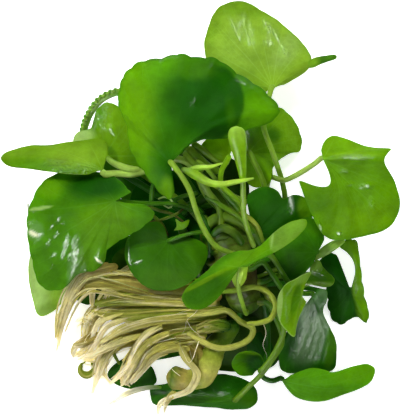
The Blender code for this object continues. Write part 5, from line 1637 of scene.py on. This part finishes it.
class HEART_OT_beaded_stem(bpy.types.Operator):
    """Adds the arched stem with its row of beads"""

    bl_idname = "heart.beaded_stem"
    bl_label = "Beaded stem"

    def execute(self, context):
        line = [(x + 0.8, y - 0.5, z, r * 0.8) for x, y, z, r in LINES["beaded_stem"]]
        parts = [make_stem("arched_stem", line, even_tones(("fresh", "mid", "fresh")), step=0.8)]
        taken, marks, length = resampled(line, 0.8)
        # the one bead: a drop that narrows to where it sits on the stem
        bpy.ops.object.select_all(action="DESELECT")
        bpy.ops.mesh.primitive_ico_sphere_add(
            subdivisions=2, radius=context.scene.heart_sizes.bead
        )
        drop = context.object
        apply_modifier(drop, "SIMPLE_DEFORM", deform_method="TAPER", deform_axis="Z", factor=0.7)
        bpy.ops.transform.resize(value=(1, 1, 1.15))
        bpy.ops.object.transform_apply(location=False, rotation=False, scale=True)
        for number in range(BEADS):
            at = length * (number + 0.5) / BEADS
            x, y, z, r = [np.interp(at, marks, taken[:, axis]) for axis in range(4)]
            # the beads stand in two rows, outside the arch and on top of it
            out = (x - ARCH_MIDDLE[0], y - ARCH_MIDDLE[1])
            away = Vector((*out, 16 if number % 2 else 1)).normalized()
            bpy.ops.object.select_all(action="DESELECT")
            drop.select_set(True)
            context.view_layer.objects.active = drop
            bpy.ops.object.duplicate(linked=False)
            bead = context.object
            bead.location = (Vector((x, y, z)) + away * (r + 0.3)) * MM
            bead.rotation_euler = away.to_track_quat("Z", "Y").to_euler()
            bpy.ops.object.transform_apply(location=True, rotation=True, scale=True)
            count = len(bead.data.vertices)
            green = tone("mid" if number % 2 else "fresh")
            note(bead, "pigment", np.tile([*green, 1], (count, 1)))
            note(bead, "round", np.tile([1, number, 0], (count, 1)))
            parts.append(bead)
        bpy.data.objects.remove(drop)
        hand_over(joined(parts, "beaded_runner"), "leaf_mid", "beaded_stem")
        return {"FINISHED"}


class HEART_OT_runners(bpy.types.Operator):
    """Adds the crown, the looped runners and the thick rhizome"""

    bl_idname = "heart.runners"
    bl_label = "Crown and runners"

    def execute(self, context):
        def scarred(marks, turn, length):
            # each old leaf leaves a ring, and the flesh between is lumpy
            ring = math.pi * marks / SCAR_SPACING + 0.5 * np.sin(turn + marks / 9)
            rings = 0.045 * np.abs(np.sin(ring))
            lumps = 0.05 * np.cos(2 * turn + marks / 4.3) + 0.03 * np.cos(3 * turn - marks / 3.1)
            return rings + lumps

        def knotted(marks, turn, length):
            knots = 0.04 * np.cos(2 * math.pi * marks / KNOT_SPACING)
            return 0.05 * np.cos(2 * turn + marks / 4) + knots

        flesh = blend_tones(
            (0, "moss"), (0.25, "bulb"), (0.6, "bark"), (0.85, "bulb"), (1, "dark")
        )

        def crown_green(share, turn):
            # 10.7 brown scars on its whole length, about one for each ring
            scar = 0.6 * ramp(np.cos(2 * math.pi * share * 10.7 + np.sin(turn)), 0.8, 1.0)
            scar = scar[..., None]
            return flesh(share, turn) * (1 - scar) + tone("bark") * scar

        crown = make_stem("old_crown", CROWN_LINE, crown_green, sides=48, step=0.7, relief=scarred)
        hand_over(crown, "rhizome", "crown")
        for name, share, sides, relief, stops in (
            ("stolon_upper", 0.75, 16, knotted, ((0, "moss"), (0.5, "olive"), (1, "olive"))),
            ("stolon_lower", 0.75, 16, knotted, ((0, "straw"), (0.4, "olive"), (1, "straw"))),
            # the rhizome's start, where it goes in under the clump, is painted dark green as
            # painted shade
            ("rhizome", 1.2, 28, scarred, (
                (0, "dark"), (0.12, "moss"), (0.25, "bulb"), (0.42, "olive"), (0.6, "straw"),
                (0.72, "olive"), (0.84, "umber"), (0.95, "bulb"), (1, "umber"),
            )),
        ):
            piece = make_stem(
                f"{name}_runner", widened(LINES[name], share), blend_tones(*stops), sides=sides,
                step=0.8, relief=relief,
            )
            hand_over(piece, "rhizome", name)
        return {"FINISHED"}


def fluted(marks, turn, length):
    """The shallow grooves along a thick root, which wind slowly round it."""
    return 0.07 * np.cos(4 * turn + 0.12 * marks + length) + 0.04 * np.cos(7 * turn - 0.1 * marks)


def root_strand(name, line, base, rng, radius):
    """One root that tapers to a pale tip."""
    count = len(line)
    full = [
        (*point, radius * (1 - 0.45 * (k / (count - 1)) ** 2) * rng.uniform(0.88, 1.12))
        for k, point in enumerate(line)
    ]
    full[-1] = (*full[-1][:3], min(0.2, 0.4 * radius))
    pale = rng.uniform(0.7, 0.85)
    stops = ((0, "olive"), (0.12, base), (pale - 0.25, base), (pale, "sand"), (1, "cream"))
    return make_stem(name, full, blend_tones(*stops), sides=7, step=1.5)


def hair_roots(name, rng):
    """Thin pale roots that run along the top of a bundle."""
    hairs = []
    for number in range(HAIRS):
        turn = math.radians(rng.uniform(15, 165))
        start, end = rng.uniform(0.05, 0.45), rng.uniform(0.6, 0.93)
        points = []
        for k in range(9):
            place = start + (end - start) * k / 8
            here, radius, beside, above = cross_section(LINES[name], place)
            twist = turn + 0.35 * math.sin(place * 7 + number)
            reach = radius * 1.12 + 0.25
            off = beside * math.cos(twist) * 1.25 * reach + above * math.sin(twist) * 0.95 * reach
            points.append((*(here + off), rng.uniform(0.25, 0.5)))
        tones = rng.choice(("olive sand sand", "straw sand cream", "straw straw sand"))
        hairs.append(make_stem(f"{name}_hair", points, even_tones(tones.split()), sides=6))
    return hairs


def hank(name, tones, flat, line, rng):
    """Fine roots that run side by side along one line, round a darker core."""
    tones = tones.split()
    widest = max(point[3] for point in line)
    if widest < 1.2:
        return [make_stem(name, line, even_tones(tones), sides=10, relief=fluted, flat=flat)]
    core = [(x, y, z - 0.15 * r * flat, 0.88 * r) for x, y, z, r in line]
    parts = [make_stem(name, core, even_tones(tones), relief=fluted, flat=flat)]
    paler = {"olive": "straw", "umber": "sand", "straw": "sand", "sand": "cream", "ash": "cream"}
    for number in range(round(5 * widest)):
        turn = math.pi * rng.uniform(-0.12, 1.12)
        start, end = rng.uniform(0, 0.3), rng.uniform(0.7, 1.0)
        thick = rng.uniform(0.3, 0.62)
        points = []
        for k in range(8):
            place = start + (end - start) * k / 7
            here, radius, beside, above = cross_section(line, place, behind=NEAR)
            twist = turn + 0.3 * math.sin(place * 6 + number)
            off = (beside * math.cos(twist) + above * math.sin(twist) * flat) * radius
            points.append((*(here + off), thick * (1 - 0.5 * (k / 7) ** 3)))
        shades = [paler.get(shade, shade) if rng.random() < 0.3 else shade for shade in tones]
        parts.append(make_stem(f"{name}_{number}", points, even_tones(shades), sides=6))
    return parts


def bundle_strands(name, rng):
    """Roots that run side by side along a bundle's line and part towards their own tips."""
    thick = bpy.context.scene.heart_sizes.strand / MM
    tight = 0.8 if name == "root_far" else 1.05
    line = LINES[name]
    count, tips = ROOT_TIPS[name]
    # the roots in the middle of a bundle have grown together
    heart = widened(line[:-3], 0.85)
    heart[-1] = (*heart[-1][:3], 0.4)
    grown = even_tones(("olive", "umber", "straw"))
    strands = [make_stem(f"{name}_heart", heart, grown, relief=fluted, flat=0.7)]
    for number in range(count):
        *tip, part_from, part_to = tips[number % len(tips)]
        # thick roots in the middle, thinner ones round them and pale hairs on top
        share = math.sqrt((number + 0.5) / count)
        radius = thick * (1.3 - 0.7 * share) * rng.uniform(0.8, 1.2)
        inner, outer = ("straw", "umber", "olive"), ("straw", "straw", "sand")
        base = rng.choice(inner if share < 0.75 else outer)
        turn = 2 * math.pi * (number * GOLDEN_TURN + rng.uniform(-0.04, 0.04))
        leaves_at = rng.uniform(part_from, part_to)
        points = []
        for k in range(11):
            place = leaves_at * k / 10
            here, wide, beside, above = cross_section(line, place)
            twist = turn + 0.5 * math.sin(place * 5 + number)
            off = beside * math.cos(twist) * 1.3 + above * math.sin(twist) * 0.75
            points.append(here + off * max(wide * share * tight - radius * 0.3, 0.1))
        end = Vector(tip) + Vector([rng.uniform(-0.9, 0.9) for _ in range(2)] + [0])
        gap = (end - points[-1]).length
        if gap > 3:
            lead = (points[-1] - points[-2]).normalized() * gap * 0.4
            points.append((points[-1] + lead) * 0.55 + end * 0.45)
        points.append(end)
        course = [(p.x, p.y, max(p.z, 0.5)) for p in points]
        strands.append(root_strand(f"{name}_{number}", course, base, rng, radius))
    return strands


class HEART_OT_roots(bpy.types.Operator):
    """Adds the roots strand by strand"""

    bl_idname = "heart.roots"
    bl_label = "Roots"

    def execute(self, context):
        rng = random.Random(4)
        for name in ROOT_TIPS:
            parts = bundle_strands(name, rng) + hair_roots(name, rng)
            hand_over(joined(parts, f"{name}_strands"), "root", name)
        for name, tones in (
            ("root_white", ("straw", "sand", "cream")), ("root_grey", ("moss", "ash", "cream")),
        ):
            # two roots that have grown together side by side
            greens = blend_tones(*zip((0, 0.35, 0.75), tones))
            parts = []
            for side in (-0.65, 0.65):
                line = [
                    (x + side * r, y - side * r * 0.4, z, r * 0.75) for x, y, z, r in LINES[name]
                ]
                parts.append(make_stem(name, line, greens, step=1.0, relief=fluted))
            hand_over(joined(parts, f"{name}_strand"), "root", name)
        singles = []
        for number, row in enumerate(SINGLE_ROOTS):
            singles += hank(f"single_{number}", *row, rng)
        hand_over(joined(singles, "single_roots"), "root")
        threads = []
        radius = context.scene.heart_sizes.rootlet / MM
        for number, line in enumerate(ROOTLETS):
            full = [(*point, radius * (1 - 0.25 * k)) for k, point in enumerate(line)]
            threads.append(
                make_stem(f"rootlet_{number}", full, even_tones(("cream", "cream")), sides=6)
            )
        hand_over(joined(threads, "rootlets"), "root")
        return {"FINISHED"}


# The lamps: name, place, side of the square (m), power (W). The softboxes light the plant but
# are never mirrored, and the windows and the spark are only mirrored, in its film of water.
SOFTBOXES = (
    ("left_softbox", (-0.65, 0.55, 1.0), 0.28, 13.0),
    ("back_softbox", (0.25, 0.75, 1.0), 0.2, 5.0),
    ("right_softbox", (0.9, -0.1, 0.8), 0.4, 3.2),
    ("front_softbox", (-0.1, -1.0, 0.8), 0.5, 3.2),
)
WINDOWS = (
    ("left_window", (-0.65, 0.55, 1.0), 0.4, 20.0),
    ("left_front_window", (-0.82, -0.62, 0.68), 0.9, 90.0),
    ("back_window", (0.1, 0.75, 0.95), 0.4, 18.0),
    ("low_back_window", (-0.1, 1.15, 0.42), 0.6, 30.0),
    ("front_window", (0.2, -0.9, 0.77), 0.6, 38.0),
    ("low_front_window", (-0.1, -1.15, 0.42), 0.6, 30.0),
    ("top_spark", (0.28, 0.1, 1.5), 0.15, 3.0),
)


class HEART_OT_stage(bpy.types.Operator):
    """Adds the pale table, the soft lights and the camera"""

    bl_idname = "heart.stage"
    bl_label = "Table, lights and camera"

    def execute(self, context):
        bpy.ops.object.select_all(action="DESELECT")
        bpy.ops.mesh.primitive_plane_add(size=16)
        floor = context.object
        floor.name = "table"
        # glass frosted by grinding and lit from below, which leaves no hard shadow under the plant
        glass = bpy.data.materials.new("frosted_glass_lit_from_below")
        add = blank_nodes(glass)
        add("OutputMaterial", {0: add("BsdfPrincipled", {
            "Base Color": (*tone("floor"), 1), "Roughness": 0.9, "Specular IOR Level": 0.0,
            "Emission Color": (1, 1, 1, 1), "Emission Strength": 0.7,
        })})
        floor.data.materials.append(glass)
        # pale walls all round and a darker ceiling, so that wet leaves keep their green from above
        world = context.scene.world = bpy.data.worlds.new("studio")
        add = blank_nodes(world)
        up = add("SeparateXYZ", {0: add("TexCoord").outputs["Generated"]}).outputs[2]
        light = add("MapRange", {
            "interpolation_type": "SMOOTHSTEP", 0: up, 1: 0.1, 2: 0.75, 3: 0.45, 4: 0.0,
        })
        add("OutputWorld", {0: add("Background", {"Color": (1, 1, 1, 1), "Strength": light})})
        for name, place, side, power in SOFTBOXES + WINDOWS:
            mirrored = (name, place, side, power) in WINDOWS
            bpy.ops.object.light_add(type="AREA", location=place)
            lamp = context.object
            lamp.name = name
            lamp.data.shape = "SQUARE"
            lamp.data.size = side
            lamp.data.energy = power
            lamp.visible_glossy = mirrored
            lamp.visible_diffuse = lamp.visible_transmission = not mirrored
            lamp.rotation_euler = (
                (Vector((0, 0, 0.03)) - Vector(place)).to_track_quat("-Z", "Y").to_euler()
            )
        bpy.ops.object.camera_add(location=(0, 0, CAMERA_HEIGHT), rotation=(0, 0, 0))
        camera = context.object
        camera.data.lens = LENS
        camera.data.sensor_width = 36
        camera.data.clip_end = 20
        context.scene.camera = camera
        context.scene.view_settings.view_transform = "Standard"
        return {"FINISHED"}


PIECES = (
    HEART_OT_stage, HEART_OT_blades, HEART_OT_stalks, HEART_OT_young_leaves, HEART_OT_beaded_stem,
    HEART_OT_runners, HEART_OT_roots,
)


class HEART_PT_panel(bpy.types.Panel):
    """Lists the plant's pieces, sizes and colours"""

    bl_idname = "HEART_PT_panel"
    bl_label = "Floating heart"
    bl_space_type = "VIEW_3D"
    bl_region_type = "UI"
    bl_category = "Floating heart"

    def draw(self, context):
        for piece in PIECES:
            self.layout.operator(piece.bl_idname)
        for group in (context.scene.heart_sizes, context.scene.heart_colours):
            box = self.layout.box()
            for name in group.__annotations__:
                box.prop(group, name)


CLASSES = (PlantSizes, PlantColours, *PIECES, HEART_PT_panel)


def register():
    for made in CLASSES:
        bpy.utils.register_class(made)
    bpy.types.Scene.heart_sizes = bpy.props.PointerProperty(type=PlantSizes)
    bpy.types.Scene.heart_colours = bpy.props.PointerProperty(type=PlantColours)


def unregister():
    del bpy.types.Scene.heart_colours
    del bpy.types.Scene.heart_sizes
    for made in reversed(CLASSES):
        bpy.utils.unregister_class(made)


def main():
    register()
    for step in (
        bpy.ops.heart.stage, bpy.ops.heart.blades, bpy.ops.heart.stalks, bpy.ops.heart.young_leaves,
        bpy.ops.heart.beaded_stem, bpy.ops.heart.runners, bpy.ops.heart.roots,
    ):
        if step() != {"FINISHED"}:
            raise RuntimeError("a piece was not finished")
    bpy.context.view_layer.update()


if __name__ == "__main__":
    main()
